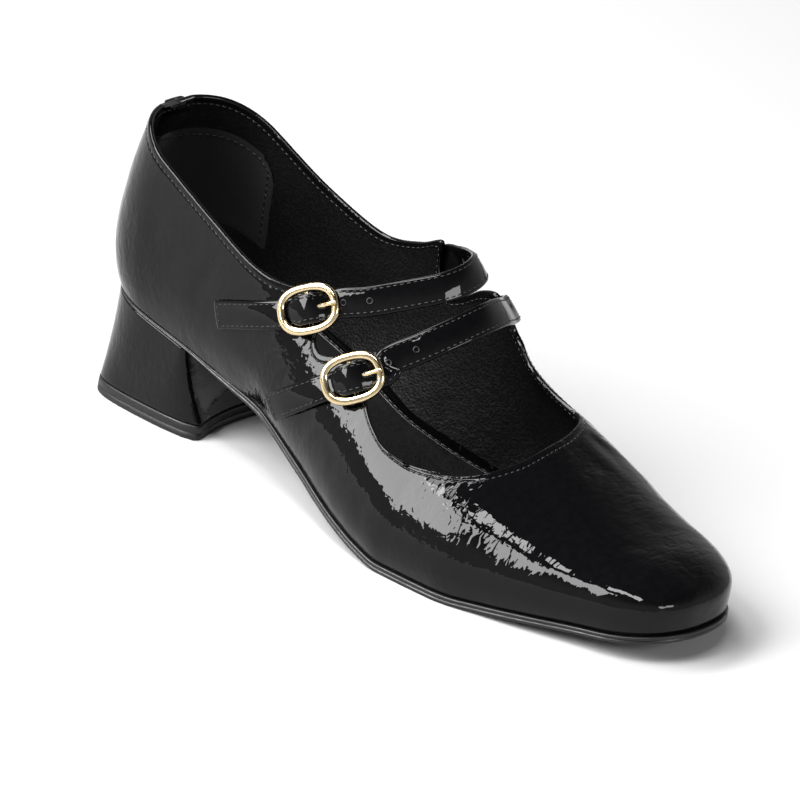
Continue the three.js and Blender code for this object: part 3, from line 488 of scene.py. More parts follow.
def patent_look(name, fine, broad, flex=(), small=False):
    """Crinkle patent: a deep gloss over soft waves, with fine creases, deeper where it flexes."""
    k = Look(name, (0.002, 0.002, 0.0022), 0.03, ior=1.29)
    wave = k.noise(k.mm, 0.045, 2.0, 0.5, 0.4)
    k.bump(wave, broad)
    swell = k.noise(k.stretched((0.6, 1.0, 0.8)), 0.17, 1.5, 0.5, 0.3)
    k.bump(swell, broad * 0.22)
    across = k.noise(k.stretched((0.42, 1.0, 0.55), (0.0, 0.0, 0.12)), 0.5, 0.8, 0.4, 0.8)
    second = k.noise(k.stretched((0.7, 0.5, 1.0), (0.5, 0.2, 0.3)), 0.85, 0.5, 0.4, 0.3)
    patch = k.ramp(k.noise(k.mm, 0.035, 2.0, 0.5, 0.0), 0.36, 0.66, 0.2, 1.0)
    for spot, reach in flex:
        patch = k.math("ADD", patch, k.near(spot, reach))
    rise = k.math("ADD", across, k.math("MULTIPLY", second, 0.3))
    k.bump(k.math("MULTIPLY", rise, patch), fine)
    k.colors(k.noise(k.mm, 0.4, 2.0), (0.0012, 0.0012, 0.0014), (0.0026, 0.0026, 0.0029))
    k.roughness(k.ramp(k.noise(k.mm, 0.3 if small else 0.12, 3.0), 0.3, 0.75, 0.012, 0.045))
    return k.m


# Where the leather flexes: a spot in the part's frame and how far the flexing reaches.
VAMP_FLEX = [
    ((30, -50, 38), 34), ((-28, -46, 26), 36), ((-30, 22, 44), 34), ((36, -12, 42), 30),
    ((0, 112, 66), 46), ((4, -112, 14), 24),
]
HEEL_FLEX = [((-20, 96, 20), 30), ((18, 110, 22), 30)]
patent = patent_look("patent_crinkle", 0.13, 0.6, VAMP_FLEX)
patent_heel = patent_look("patent_heel_cover", 0.09, 0.34, HEEL_FLEX)
patent_strap = patent_look("patent_strap", 0.06, 0.16, small=True)


def lining_look():
    k = Look("lining_leather", (0.0025, 0.0024, 0.0025), 0.4, ior=1.25)
    grain = k.cells(k.mm, 1.15)
    k.bump(grain, 0.10)
    k.bump(k.noise(k.mm, 0.16, 3.0, 0.55, 0.3), 0.35)
    k.colors(k.noise(k.mm, 0.06, 3.0, 0.6), (0.0014, 0.0013, 0.0015), (0.0034, 0.0032, 0.0034))
    k.roughness(k.ramp(grain, 0.1, 0.8, 0.34, 0.52))
    return k.m


def suede_look():
    k = Look("suede_grip", (0.003, 0.0028, 0.0031), 0.95, ior=1.3, Sheen_Weight=0.04,
             Sheen_Roughness=0.5)
    k.bump(k.noise(k.mm, 3.4, 4.0, 0.7), 0.16)
    k.colors(k.noise(k.mm, 0.22, 4.0, 0.65, 0.8), (0.001, 0.001, 0.0011), (0.0026, 0.0025, 0.0027))
    return k.m


def insole_look():
    k = Look("insole_sock", (0.003, 0.0028, 0.003), 0.5, ior=1.28)
    grain = k.cells(k.mm, 1.4)
    k.bump(grain, 0.07)
    k.bump(k.noise(k.stretched((1, 0.5, 1)), 0.09, 2.0), 0.5)
    k.colors(k.noise(k.mm, 0.05, 3.0, 0.6), (0.0018, 0.0017, 0.0019), (0.004, 0.0038, 0.004))
    k.roughness(k.ramp(k.noise(k.mm, 0.5, 2.0), 0.3, 0.7, 0.5, 0.68))
    return k.m


def rubber_look(name, low, high, grain):
    k = Look(name, (0.003, 0.003, 0.0032), 0.4, ior=1.42)
    k.bump(k.noise(k.mm, 2.2, 3.0, 0.6), grain)
    k.bump(k.noise(k.stretched((0.4, 0.4, 2.0)), 0.5, 2.0), grain * 0.8)
    k.colors(k.noise(k.mm, 0.1, 3.0, 0.6), (0.0025, 0.0025, 0.0027), (0.0065, 0.0065, 0.0068))
    k.roughness(k.ramp(k.noise(k.mm, 0.35, 3.0), 0.3, 0.7, low, high))
    return k.m


def gold_look():
    k = Look("pale_gold", (0.70, 0.56, 0.33), 0.12, metallic=1.0)
    k.bump(k.noise(k.mm, 0.9, 2.0), 0.02)
    k.bump(k.noise(k.mm, 6.0, 2.0), 0.003)
    k.colors(k.noise(k.mm, 0.5, 3.0), (0.64, 0.50, 0.28), (0.75, 0.61, 0.38))
    k.roughness(k.ramp(k.noise(k.mm, 2.5, 3.0), 0.3, 0.75, 0.09, 0.2))
    return k.m


def thread_look():
    k = Look("waxed_thread", (0.004, 0.004, 0.0042), 0.38, ior=1.4)
    k.bump(k.noise(k.stretched((4, 4, 1.5), (0.6, 0.4, 0.5)), 1.6, 2.0), 0.05)
    k.colors(k.noise(k.mm, 1.2, 2.0), (0.0012, 0.0012, 0.0013), (0.0036, 0.0036, 0.0038))
    k.roughness(k.ramp(k.noise(k.mm, 2.0, 2.0), 0.3, 0.7, 0.3, 0.5))
    return k.m


# A lighter grey for the insole's edge roll and stitch row: a painted highlight along the rolled
# edge.
def edge_highlight_look():
    k = Look("edge_roll_painted_highlight", (0.02, 0.019, 0.02), 0.32, ior=1.5)
    k.bump(k.noise(k.mm, 0.7, 3.0, 0.6), 0.12)
    k.colors(k.noise(k.mm, 0.35, 3.0, 0.6), (0.012, 0.0115, 0.012), (0.032, 0.031, 0.032))
    k.roughness(k.ramp(k.noise(k.mm, 0.8, 2.0), 0.3, 0.7, 0.24, 0.42))
    return k.m


lining, suede, insole_skin = lining_look(), suede_look(), insole_look()
gold, thread, edge_highlight = gold_look(), thread_look(), edge_highlight_look()
rubber = rubber_look("sole_edge_finish", 0.3, 0.46, 0.03)
lift_rubber = rubber_look("lift_rubber", 0.36, 0.55, 0.05)


# ---------------- upper
def upper_columns(fine):
    """Each column of the upper: its top point, its foot round the sole, its share of fan."""
    rows = TOPLINE + [(*TOPLINE[0][:3], -2, 0, 0)]
    t, foot, fan = [], [], []
    for i, row in enumerate(TOPLINE):
        steps = row[5]
        for k in range(steps):
            s = k / steps
            t.append((i + s) / len(TOPLINE))
            foot.append(-(row[3] + (rows[i + 1][3] - row[3]) * s))
            fan.append(row[4] + (rows[i + 1][4] - row[4]) * s)
    foot = np.array(foot)
    for _ in range(2):
        after = np.append(foot[1:], 2)
        foot[1:] = (foot[:-1] + 2 * foot[1:] + after[1:]) / 4
    n = len(t)
    at = np.arange(n * fine) / fine
    wrap = np.concatenate([[foot[-1] - 2], foot, [2, 2 + foot[1]]])
    i = np.floor(at).astype(int)
    w = at - i
    a, b, c, d = wrap[i], wrap[i + 1], wrap[i + 2], wrap[i + 3]
    foot_fine = b + 0.5 * w * (c - a + w * (2 * a - 5 * b + 4 * c - d + w * (3 * (b - c) + d - a)))
    fan_fine = np.interp(at, np.arange(n + 1), fan + fan[:1])
    t_fine = np.interp(at, np.arange(n + 1), t + [1.0])
    top = spline([r[:3] for r in TOPLINE], t_fine, closed=True)
    return top, np.clip(foot_fine, 0, 2), fan_fine


def column_points(top, foot, fan, v):
    """Points up each column. v is 0 at the bottom edge and 1 at the top edge, one row of values
    per column."""
    x, y, z = (top[:, k:k + 1] for k in range(3))
    foot, fan = foot[:, None], fan[:, None]
    side = np.where(foot <= 1, -1.0, 1.0)
    foot_u = LENGTH * (1 - np.cos(np.pi * np.where(foot <= 1, foot, 2 - foot))) / 2
    top_u = y - back_shift(z) * (1 - smooth(np.clip(y / 60, 0, 1)))
    top_side = np.where(x < ridge(top_u), -1.0, 1.0)
    top_q = q_height(top_side, top_u, z) * (1 - fan) + q_plan(top_side, top_u, x) * fan
    start_x = last(side, foot_u, 0)[..., 0]
    top_z = last(top_side, top_u, top_q)[..., 2]
    straight_u = foot_u + (top_u - foot_u) * v ** 2.5
    rise = seat(foot_u) + (top_z - seat(foot_u)) * v
    side_q = np.where(v >= 1, top_q, q_height(side, straight_u, rise))
    t = np.clip((v - 1 / 3) * 1.5, 0, 1)
    inward = t * t * 0.55 + t * 0.45
    plan_x = start_x + (x - start_x) * inward
    fan_u = foot_u + (top_u - foot_u) * inward
    fan_side = np.where(v > 1 / 3, np.where(plan_x < ridge(fan_u), -1.0, 1.0), side)
    fan_q = np.where(v > 1 / 3, np.where(v >= 1, top_q, q_plan(fan_side, fan_u, plan_x)),
                     -1 + 3 * v)
    mixed = last(side, straight_u + (fan_u - straight_u) * fan, side_q + (fan_q - side_q) * fan)
    return np.where((fan >= 1)[..., None], last(fan_side, fan_u, fan_q), mixed)


FINE = 4
ROWS = 48
DENSE = 90
EDGE_BAND = 3.6                      # where the even rows stop, below the top edge
EDGE = np.array([3.0, 2.6, 2.25, 2.0, 1.75, 1.4, 1.0, 0.6, 0.3, 0.0])   # below the top edge
top, foot, fan = upper_columns(FINE)
dense = np.broadcast_to(np.linspace(0, 1, DENSE) ** 0.9, (len(top), DENSE))
run = column_points(top, foot, fan, dense)
steps = np.cumsum(np.linalg.norm(np.diff(run, axis=1), axis=2), axis=1)
reach = np.concatenate([np.zeros((len(top), 1)), steps], 1)
down = np.array([np.concatenate([np.linspace(0, r[-1] - EDGE_BAND, ROWS), r[-1] - EDGE])
                 for r in reach])
v = np.array([np.interp(d, r, s) for d, r, s in zip(down, reach, dense)])
v[:, -1] = 1
skin = column_points(top, foot, fan, v)
cols, rows = skin.shape[:2]


def grid_normals(g):
    along = np.roll(g, -1, 0) - np.roll(g, 1, 0)
    up = np.concatenate([g[:, 1:], g[:, -1:]], 1) - np.concatenate([g[:, :1], g[:, :-1]], 1)
    return unit(np.cross(up, along))


normal = grid_normals(skin)
if normal[np.argmin(skin[:, 5, 0]), 5, 0] > 0:
    normal = -normal
below = down[:, -1:] - down            # distance below the top edge
# The folded edge stands a little proud, and the stitch row pulls the leather down.
shape = (0.20 * smooth(np.clip((1.75 - below) / 0.5, 0, 1))
         - 0.10 * np.exp(-((below - 2.1) / 0.3) ** 2))
fold = np.zeros(skin.shape[:2])
for start, end, half, depth in CREASES:
    a, b = np.array(start, float), np.array(end, float)
    share = np.clip(((skin - a) @ (b - a)) / ((b - a) @ (b - a)), 0, 1)
    bend = np.sin(share * 5.1 + a[1])[..., None] * unit(np.cross(b - a, (0.3, 0.2, 1.0))) * 0.9
    away = np.linalg.norm(skin - (a + share[..., None] * (b - a) + bend), axis=-1)
    faded = 0.35 + 0.65 * np.sin(np.pi * np.clip(share, 0.04, 0.96))
    fold -= depth * np.exp(-(away / half) ** 2) * faded
hush = np.clip((below - 2.4) / 3, 0, 1) * np.clip(down / 4, 0, 1)
outside = skin + normal * (shape + fold * hush)[..., None]
inside = skin - normal * WALL
up_edge = unit(skin[:, -1] - skin[:, -3])
middle = (outside[:, -1] + inside[:, -1]) / 2
half_wall = np.linalg.norm(outside[:, -1] - inside[:, -1], axis=1, keepdims=True) / 2
bead = [middle + (normal[:, -1] * math.cos(a) + up_edge * math.sin(a) * 0.8) * half_wall
        for a in np.radians([28, 58, 90, 122, 152])]
loops = np.concatenate([outside.transpose(1, 0, 2), np.stack(bead),
                        inside[:, ::-1].transpose(1, 0, 2)])
ringed("upper_patent", loops, patent, "patent", ["upper"])

# Lining: a sheet over the inside, its edge just under the top line.
keep = slice(3, rows - 4)
sheet = skin[:, keep] - normal[:, keep] * (WALL + 0.12)
piece("upper_lining", sheet.reshape(-1, 3), grid_faces(cols, sheet.shape[1], close_rows=True),
      lining, "lining")
row_at = rows - len(EDGE) + 3          # 2 mm below the top edge
row_normal = normal[:, row_at]
stitch_row("topline_stitches", outside[:, row_at], row_normal, thread, closed=True, **TOP_STITCH)
stitch_row("lining_stitches", skin[:, row_at] - row_normal * (WALL + 0.14), -row_normal, thread,
           closed=True, slot="lining", **TOP_STITCH)

# Heel grip: a suede patch inside the back, with thin edges and round upper corners.
grip_half = 9 * FINE
back = np.concatenate([np.arange(cols - grip_half - 1, cols), np.arange(0, grip_half + 1)])
level = slice(int(ROWS * 0.22), int(ROWS * 0.86))
grip = (skin - normal * (WALL + 0.5))[back][:, level]
thin = (skin - normal * (WALL + 0.1))[back][:, level]
grip[0], grip[-1] = thin[0], thin[-1]
grip[:, 0], grip[:, -1] = thin[:, 0], thin[:, -1]
corner = 2.2 * FINE
for i in range(len(grip)):
    from_side = 1 - min(1, min(i, len(grip) - 1 - i) / corner)
    cut = int(7 * (1 - math.sqrt(1 - from_side ** 2)))
    if cut:
        s = np.linspace(0, grip.shape[1] - 1 - cut, grip.shape[1])
        grip[i] = np.stack([np.interp(s, np.arange(grip.shape[1]), grip[i, :, k])
                            for k in range(3)], -1)
piece("heel_grip", grip.reshape(-1, 3), grid_faces(len(grip), grip.shape[1]), suede, "lining")


def rim_of(g):
    """The line just inside a patch's two sides and its top, in one run."""
    return np.concatenate([g[2, 2:-2], g[2:-2, -3], g[-3, 2:-2][::-1]])


stitch_row("heel_grip_stitches", rim_of(grip), -rim_of(normal[back][:, level]), thread, pitch=2.4,
           length=1.7, slot="lining")


# Back strip: a narrow strip over the back seam, folded over at the top.
def at_back(x, z, lift):
    side = np.where(x < 0, -1.0, 1.0)
    low, high = np.zeros_like(x), np.full_like(x, 26.0)
    for _ in range(40):
        mid = (low + high) / 2
        wide = np.abs(last(side, mid, q_height(side, mid, z))[..., 0]) > np.abs(x)
        high, low = np.where(wide, mid, high), np.where(wide, low, mid)
    u = np.maximum(mid, 0.004)
    p = last(side, u, q_height(side, u, z))
    n = grid_normals_open(p)
    return p + n * lift[..., None], n


def grid_normals_open(g):
    along = np.gradient(g, axis=0)
    up = np.gradient(g, axis=1)
    n = unit(np.cross(up, along))
    return n * np.where(n[..., 1:2] > 0, -1, 1)


width = np.linspace(-1, 1, 21)
height = np.linspace(seat(0.0) + 0.6, 97.75, 60)
strip_x = width[:, None] * np.interp(height, [40, 70, 98], [5.2, 4.3, 4.0])[None, :]
strip_z = np.broadcast_to(height, strip_x.shape) + 0.0
crowned = 0.55 * rounding(np.abs(width), 7)[:, None] * np.ones_like(strip_z)
lift = crowned + 0.02 + 0.25 * smooth(np.clip((strip_z - 94.6) / 0.8, 0, 1))
strip_out, strip_n = at_back(strip_x, strip_z, lift)
strip_in = strip_out - strip_n * (lift[..., None] + 0.35)
# Over the top edge and a little way down inside: share of the thickness inward, rise.
OVER_EDGE = [(0.12, 0.12), (0.6, 0.3), (1.5, 0.3), (2.5, 0.05), (3.0, -0.9)]
strip_top = np.stack([strip_out[:, -1] + (strip_in[:, -1] - strip_out[:, -1]) * share
                      + np.array([0, 0.15, 1.0]) * rise for share, rise in OVER_EDGE], 1)
strip_grid = np.concatenate([strip_out, strip_top], 1)
piece("back_strip", strip_grid.reshape(-1, 3), grid_faces(len(width), strip_grid.shape[1]),
      patent_strap, "patent")
for tag, k in (("outer", 3), ("inner", 17)):
    stitch_row("back_strip_stitches_" + tag, strip_out[k, 2:-3], strip_n[k, 2:-3], thread,
               **BACK_STITCH)


# ---------------- sole and insole
def plan_normal(line, side):
    """Outward directions in plan along a line on one side of the shoe."""
    ahead = np.gradient(line, axis=0)
    return unit(np.stack([ahead[:, 1] * side, -ahead[:, 0] * side, np.zeros(len(line))], -1))


def edge_line(side, out, count):
    """The last's bottom edge on one side from heel to toe, moved outward by out."""
    t = 0.5 - 0.5 * np.cos(np.pi * np.linspace(0.012, 0.988, 900))
    p = last(side, LENGTH * (1 - np.cos(np.pi * t)) / 2, -1.0)
    return spaced(p + plan_normal(p, side) * out(p[:, 1])[:, None], count)


def slab(name, out, profile, top_of, bottom_of, look, slot, node, count=170, across=10, crown=None):
    """Makes a plate between the two edge lines and gives the loops down its edge. profile is (moved
    in, share of the thickness from the top) down that edge."""
    loops = []
    for inset, share in profile:
        ring = []
        for side in (-1.0, 1.0):
            line = edge_line(side, out, count)
            p = line - plan_normal(line, side) * inset
            p[:, 2] = top_of(p[:, 1]) + (bottom_of(p[:, 1]) - top_of(p[:, 1])) * share
            ring.append(p)
        loops.append(np.concatenate([ring[0], ring[1][::-1]]))
    size = 2 * count
    pts = [np.array(loops).reshape(-1, 3)]
    faces = grid_faces(len(loops), size, close_columns=True)
    base = len(loops) * size
    for which, row in (("top", 0), ("bottom", len(loops) - 1)):
        a = loops[row][:count]
        b = loops[row][count:][::-1]
        s = np.linspace(0, 1, across + 1)[1:-1]
        inner = a[:, None] + (b - a)[:, None] * s[None, :, None]
        if which == "top":
            inner[..., 2] = top_of(inner[..., 1]) + (crown(s)[None, :] if crown else 0)
        else:
            inner[..., 2] = bottom_of(inner[..., 1])
        pts.append(inner.reshape(-1, 3))
        k = across - 1

        def number(i, j):
            if j == 0:
                return row * size + i
            if j == across:
                return row * size + size - 1 - i
            return base + i * k + j - 1
        for i in range(count - 1):
            for j in range(across):
                faces.append((number(i, j), number(i, j + 1),
                              number(i + 1, j + 1), number(i + 1, j)))
        base += count * k
    outward(piece(name, np.concatenate(pts), faces, look, slot, [node]))
    return loops


def flare(u):
    return -0.2 + 1.1 * smooth(np.clip((u - 50) / 60, 0, 1))


slab("outsole_plate", flare,
     [(0.55, 0), (0.18, 0.03), (0.02, 0.12), (0, 0.3), (0.02, 0.4), (0.3, 0.46), (0.3, 0.52),
      (0.02, 0.58), (0, 0.75), (0.05, 0.9), (0.25, 0.98), (0.8, 1)],
     lambda u: sole_bottom(u) + sole_thick(u), sole_bottom, rubber, "sole", "outsole")

sock_loops = slab("insole_sock", lambda u: np.full_like(u, -(WALL + 0.7)),
                  [(3.4, 0.0), (2.8, 0.04), (2.2, 0.14), (1.4, 0.17), (0.6, 0.2), (0.15, 0.32),
                   (0, 0.6), (0, 1)],
                  lambda u: seat(u) + INSOLE_THICK, seat, insole_skin, "lining", "insole",
                  across=14, crown=lambda s: 0.25 * np.sin(np.pi * s) ** 0.5)
# The insole's stitch row is lighter grey too, a painted highlight along the seam.
seam = sock_loops[3]
stitch_row("insole_stitches", seam, np.tile([0.0, 0.0, 1.0], (len(seam), 1)), edge_highlight, closed=True,
           pitch=2.6, length=2.2, radius=0.26, lift=0.1, slot="lining")

# Edge roll: an uneven cord round the sock, in a lighter grey that is a painted highlight along it.
CORD_STEPS, CORD_SIDES = 420, 8
cord_line = spaced(sock_loops[1], CORD_STEPS, closed=True)
cord_side = unit(np.cross(np.roll(cord_line, -1, 0) - np.roll(cord_line, 1, 0), (0, 0, 1.0)))
cord_turn = circle(CORD_SIDES)
cord_at = walked(cord_line, True)[:-1]
cord_wave = 0.34 + 0.08 * np.sin(cord_at * 0.9) + 0.05 * np.sin(cord_at * 2.3)
sideways = np.cos(cord_turn)[None, :] * cord_wave[:, None]
upright = np.sin(cord_turn)[None, :] * cord_wave[:, None] * 0.8 + 0.06
cord_pts = (cord_line[:, None] + cord_side[:, None] * sideways[..., None]
            + np.array([0, 0, 1.0]) * upright[..., None])
ringed("insole_edge_roll", cord_pts, edge_highlight, "lining")


# ---------------- heel
def heel_loop(s, z_at, inset, arc=84, front=24):
    """A loop round the heel, s from 0 under the seat to 1 on the floor, its heights from z_at."""
    turn = np.linspace(0, np.pi, arc + 1)
    side = np.where(turn <= np.pi / 2, -1.0, 1.0)
    sine, cosine = np.clip(np.sin(turn), 0, 1), np.cos(turn)
    seat_edge = last(side, BREAST * (1 - sine ** 1.15), -1.0)
    low = 2 / 6.5
    base_x = FOOT["x"] - FOOT["half"] * np.sign(cosine) * np.abs(cosine) ** low
    base_u = FOOT["front"] - (FOOT["front"] - FOOT["back"]) * sine ** low
    bulge = s * s * 0.62 + s * 0.38
    x = seat_edge[:, 0] + (base_x - seat_edge[:, 0]) * bulge
    u = np.minimum(seat_edge[:, 1], BREAST)
    u = u + (base_u - u) * bulge
    line = np.stack([x, u, np.zeros_like(x)], -1)
    t = np.arange(1, front)[:, None] / front
    breast = line[-1] + (line[0] - line[-1]) * t
    breast[:, 1] -= (2.5 + 2.5 * s) * 4 * (t * (1 - t))[:, 0]
    loop = np.concatenate([line, breast])
    inward = unit(np.array([FOOT["x"], 26, 0]) - loop)
    loop = loop + inward * inset
    loop[:, 2] = z_at(loop[:, 1])
    return loop


def ease(x, share=0.9):
    """Rounds the corners where the breast meets the sides by averaging neighbouring points."""
    for _ in range(3):
        x = (np.roll(x, 1, 0) + 2 * x + np.roll(x, -1, 0)) / 4 * share + x * (1 - share)
    return x


def block_level(s):
    """Heights of the block's level s, from just under the sole down to just over the lift."""
    def height_at(u):
        under = sole_bottom(u) - GAP
        return under + (LIFT_THICK + GAP - under) * s
    return height_at


levels = np.concatenate([[0.0, 0.004, 0.012, 0.03], np.linspace(0.06, 0.97, 26),
                         [0.985, 0.994, 1.0]])
insets = np.concatenate([[0.75, 0.45, 0.32, 0.3], np.full(26, 0.3), [0.34, 0.42, 0.7]])
block = np.array([ease(heel_loop(s, block_level(s), i)) for s, i in zip(levels, insets)])
lofted("heel_block_cover", block, patent_heel, "patent", ["heel_block"])
LIFT_EDGE = [  # height, inset: soft edges, and a groove where the two layers meet
    (5.0, 0.75), (4.9, 0.25), (4.6, 0.08), (2.6, -0.1), (2.45, 0.08), (2.25, 0.08), (2.1, -0.12),
    (0.5, -0.24), (0.15, -0.1), (0.0, 0.25),
]
lift_loops = np.array([ease(heel_loop(1.0, lambda u, z=z: np.full_like(u, z), i))
                       for z, i in LIFT_EDGE])
lofted("heel_top_piece", lift_loops, lift_rubber, "sole", ["heel_lift"])


# ---------------- straps, tabs, buckles
def buckle_axes(b):
    along = unit(np.array(b["along"], float))
    out = np.array(b["outward"], float)
    out = unit(out - along * (out @ along))
    across = unit(np.cross(along, out))
    return dict(along=along, out=out, across=across, middle=np.array(b["middle"], float))


def in_buckle(ax, a, w, h):
    """A point a along the strap, w across it and h outward from the ring's middle."""
    return ax["middle"] + ax["along"] * a + ax["across"] * w + ax["out"] * h


def laid_on(side, places, width, thick):
    u, z = np.array(places, float).T
    p, n = on_quarter(side, u, z, GAP + thick / 2)
    before, after = np.concatenate([p[:1], p[:-1]]), np.concatenate([p[1:], p[-1:]])
    across = unit(np.cross(after - before, n))
    rise = np.zeros(len(p))
    for w in (-1, -0.5, 0.5, 1):
        spot = p + across * w * width / 2 - n * (thick / 2 + GAP)
        surface = last(side, spot[:, 1], q_height(side, spot[:, 1], spot[:, 2]))
        rise = np.maximum(rise, ((surface - spot) * n).sum(1))
    return p + n * (rise + 0.05)[:, None], n


def strip_stations(points, normals, count, tip, width):
    """Stations of a strip: points, upward, across, distance walked, half width. Its first end is
    rounded by tip."""
    t = np.linspace(0, 1, count)
    p = spline(points, t)
    n = unit(spline(normals, t))
    tangent = unit(np.gradient(p, axis=0))
    up = unit(n - tangent * (n * tangent).sum(1, keepdims=True))
    across = np.cross(tangent, up)
    s = walked(p)
    half = np.full(count, width / 2)
    if tip:
        short = 1 - np.clip(s / tip, 0, 1)
        half = width / 2 - tip * (1 - np.sqrt(1 - (0.985 * short) ** 2))
    return p, up, across, s, half


def strip(name, stations, thick, look, node):
    """A flat strip of folded leather with soft edges and a slight crown."""
    p, up, across, _, half = stations
    turns = circle(32)
    c, sn = np.cos(turns), np.sin(turns)
    h = thick / 2 * np.sign(sn) * np.abs(sn) ** 0.62
    loops = []
    for k in range(len(p)):
        w = half[k] * np.sign(c) * np.abs(c) ** 0.32
        # The stitch rows pull the top side in, and the middle crowns a little.
        pulled = 0.12 * np.exp(-((np.abs(w) - (half[k] - 1.3)) / 0.35) ** 2) * (h > 0)
        crown = 0.14 * (1 - (w / max(half[k], 0.1)) ** 2) * (h > 0)
        loops.append(p[k] + across[k] * w[:, None] + up[k] * (h - pulled + crown)[:, None])
    return lofted(name, np.array(loops), look, "patent", [node])


def edge_rows(name, stations, thick, inset, start, stop):
    """A stitch row along each edge of a strip."""
    p, up, across, s, half = stations
    pick = (s >= start) & (s <= s[-1] - stop)
    for tag, side in (("a", -1), ("b", 1)):
        sideways = across * (side * np.maximum(half - inset, 0.2))[:, None]
        line = (p + sideways + up * (thick / 2 - 0.06))[pick]
        stitch_row(f"{name}_stitches_{tag}", line, up[pick], thread, lift=0.02, **STRAP_STITCH)


def end_row(name, stations, thick, i, reach):
    """A stitch row across a strip at its station i."""
    p, up, across, _, _ = stations
    sideways = across[i] * np.linspace(-reach, reach, 8)[:, None]
    stitch_row(name + "_end_stitches", p[i] + sideways + up[i] * (thick / 2 + 0.02),
               np.tile(up[i], (8, 1)), thread, **STRAP_STITCH)


# A bead round a strap hole in the thread's lighter, rougher finish: a painted highlight on the
# hole's rim.
def hole_rim(name, centre, up, across, radius, wire):
    along = np.cross(up, across)
    a, b = circle(24), circle(8)
    out = across * np.cos(a)[:, None] + along * np.sin(a)[:, None]
    pts = (centre + out[:, None] * (radius + wire * np.cos(b))[None, :, None]
           + up * (wire * np.sin(b))[None, :, None])
    ringed(name, pts, thread, "patent")


def hole(name, centre, up, across, radius):
    """A shallow dark dish."""
    along = np.cross(up, across)
    n = 24
    a = circle(n)
    ring = centre + (across * np.cos(a)[:, None] + along * np.sin(a)[:, None]) * radius
    pts = np.concatenate([ring, ring * 0.55 + centre * 0.45 - up * 0.12, [centre - up * 0.16]])
    faces = [(k, (k + 1) % n, n + (k + 1) % n, n + k) for k in range(n)]
    faces += [(n + k, n + (k + 1) % n, 2 * n) for k in range(n)]
    piece(name, pts, faces, suede, "lining")


def tube(name, points, radii, node, sides=16):
    """A gold tube along points with a radius at each."""
    p = np.asarray(points, float)
    tangent = unit(np.gradient(p, axis=0))
    a = unit(np.cross(tangent, np.tile([0.3, 0.2, 1.0], (len(p), 1))))
    b = np.cross(tangent, a)
    turns = circle(sides)
    around = (a[:, None] * np.cos(turns)[None, :, None] + b[:, None] * np.sin(turns)[None, :, None])
    loops = p[:, None] + around * np.asarray(radii)[:, None, None]
    lofted(name, loops, gold, "gold", node)


def leather_strap(tag, data, ax):
    """The strap from its tip in the buckle, over the instep, to its seam on the inner ear."""
    in_ring = np.array([in_buckle(ax, a, 0, h) for a, h in TIP_RUN])
    over = np.array(data["route"], float)
    sewn, sewn_n = laid_on(1.0, data["sewn"], *STRAP)
    points = np.concatenate([in_ring, over, sewn])
    normals = np.concatenate([np.tile(ax["out"], (len(in_ring), 1)),
                              unit(over - np.array(data["axis"], float)), sewn_n])
    stations = strip_stations(points, normals, 300, TIP_RADIUS, STRAP[0])
    p, up, across, s, _ = stations
    strip("strap_" + tag + "_leather", stations, STRAP[1], patent_strap, "strap_" + tag)
    edge_rows("strap_" + tag, stations, STRAP[1], 1.25, 1.2, 1.5)
    end_row("strap_" + tag, stations, STRAP[1], np.argmin(np.abs(s - (s[-1] - 1.6))), 3.4)
    for k, where in enumerate((11.6, *data["holes"])):
        i = np.argmin(np.abs(s - where))
        c = p[i] + up[i] * (STRAP[1] / 2 + 0.13)
        hole_rim(f"strap_{tag}_hole_rim_{k}", c, up[i], across[i], 0.9, 0.24)
        hole(f"strap_{tag}_hole_{k}", c + up[i] * 0.03, up[i], across[i], 0.92)


def buckle_tab(tag, buckle, ax):
    """The tab, sewn to the outer quarter at one end and wrapped up to the bar at the other."""
    seat_p, seat_n = laid_on(-1.0, buckle["sewn"], *TAB)
    tip = in_buckle(ax, -0.6, 0, -2.75)
    stations = strip_stations(np.concatenate([seat_p, [tip]]),
                              np.concatenate([seat_n, [ax["out"]]]), 110, 0, TAB[0])
    name = "buckle_tab_" + tag
    strip(name + "_leather", stations, TAB[1], patent_strap, name)
    edge_rows(name, stations, TAB[1], 1.15, 1.3, 6.0)
    end_row(name, stations, TAB[1], np.argmin(np.abs(stations[3] - 1.3)), 3.3)


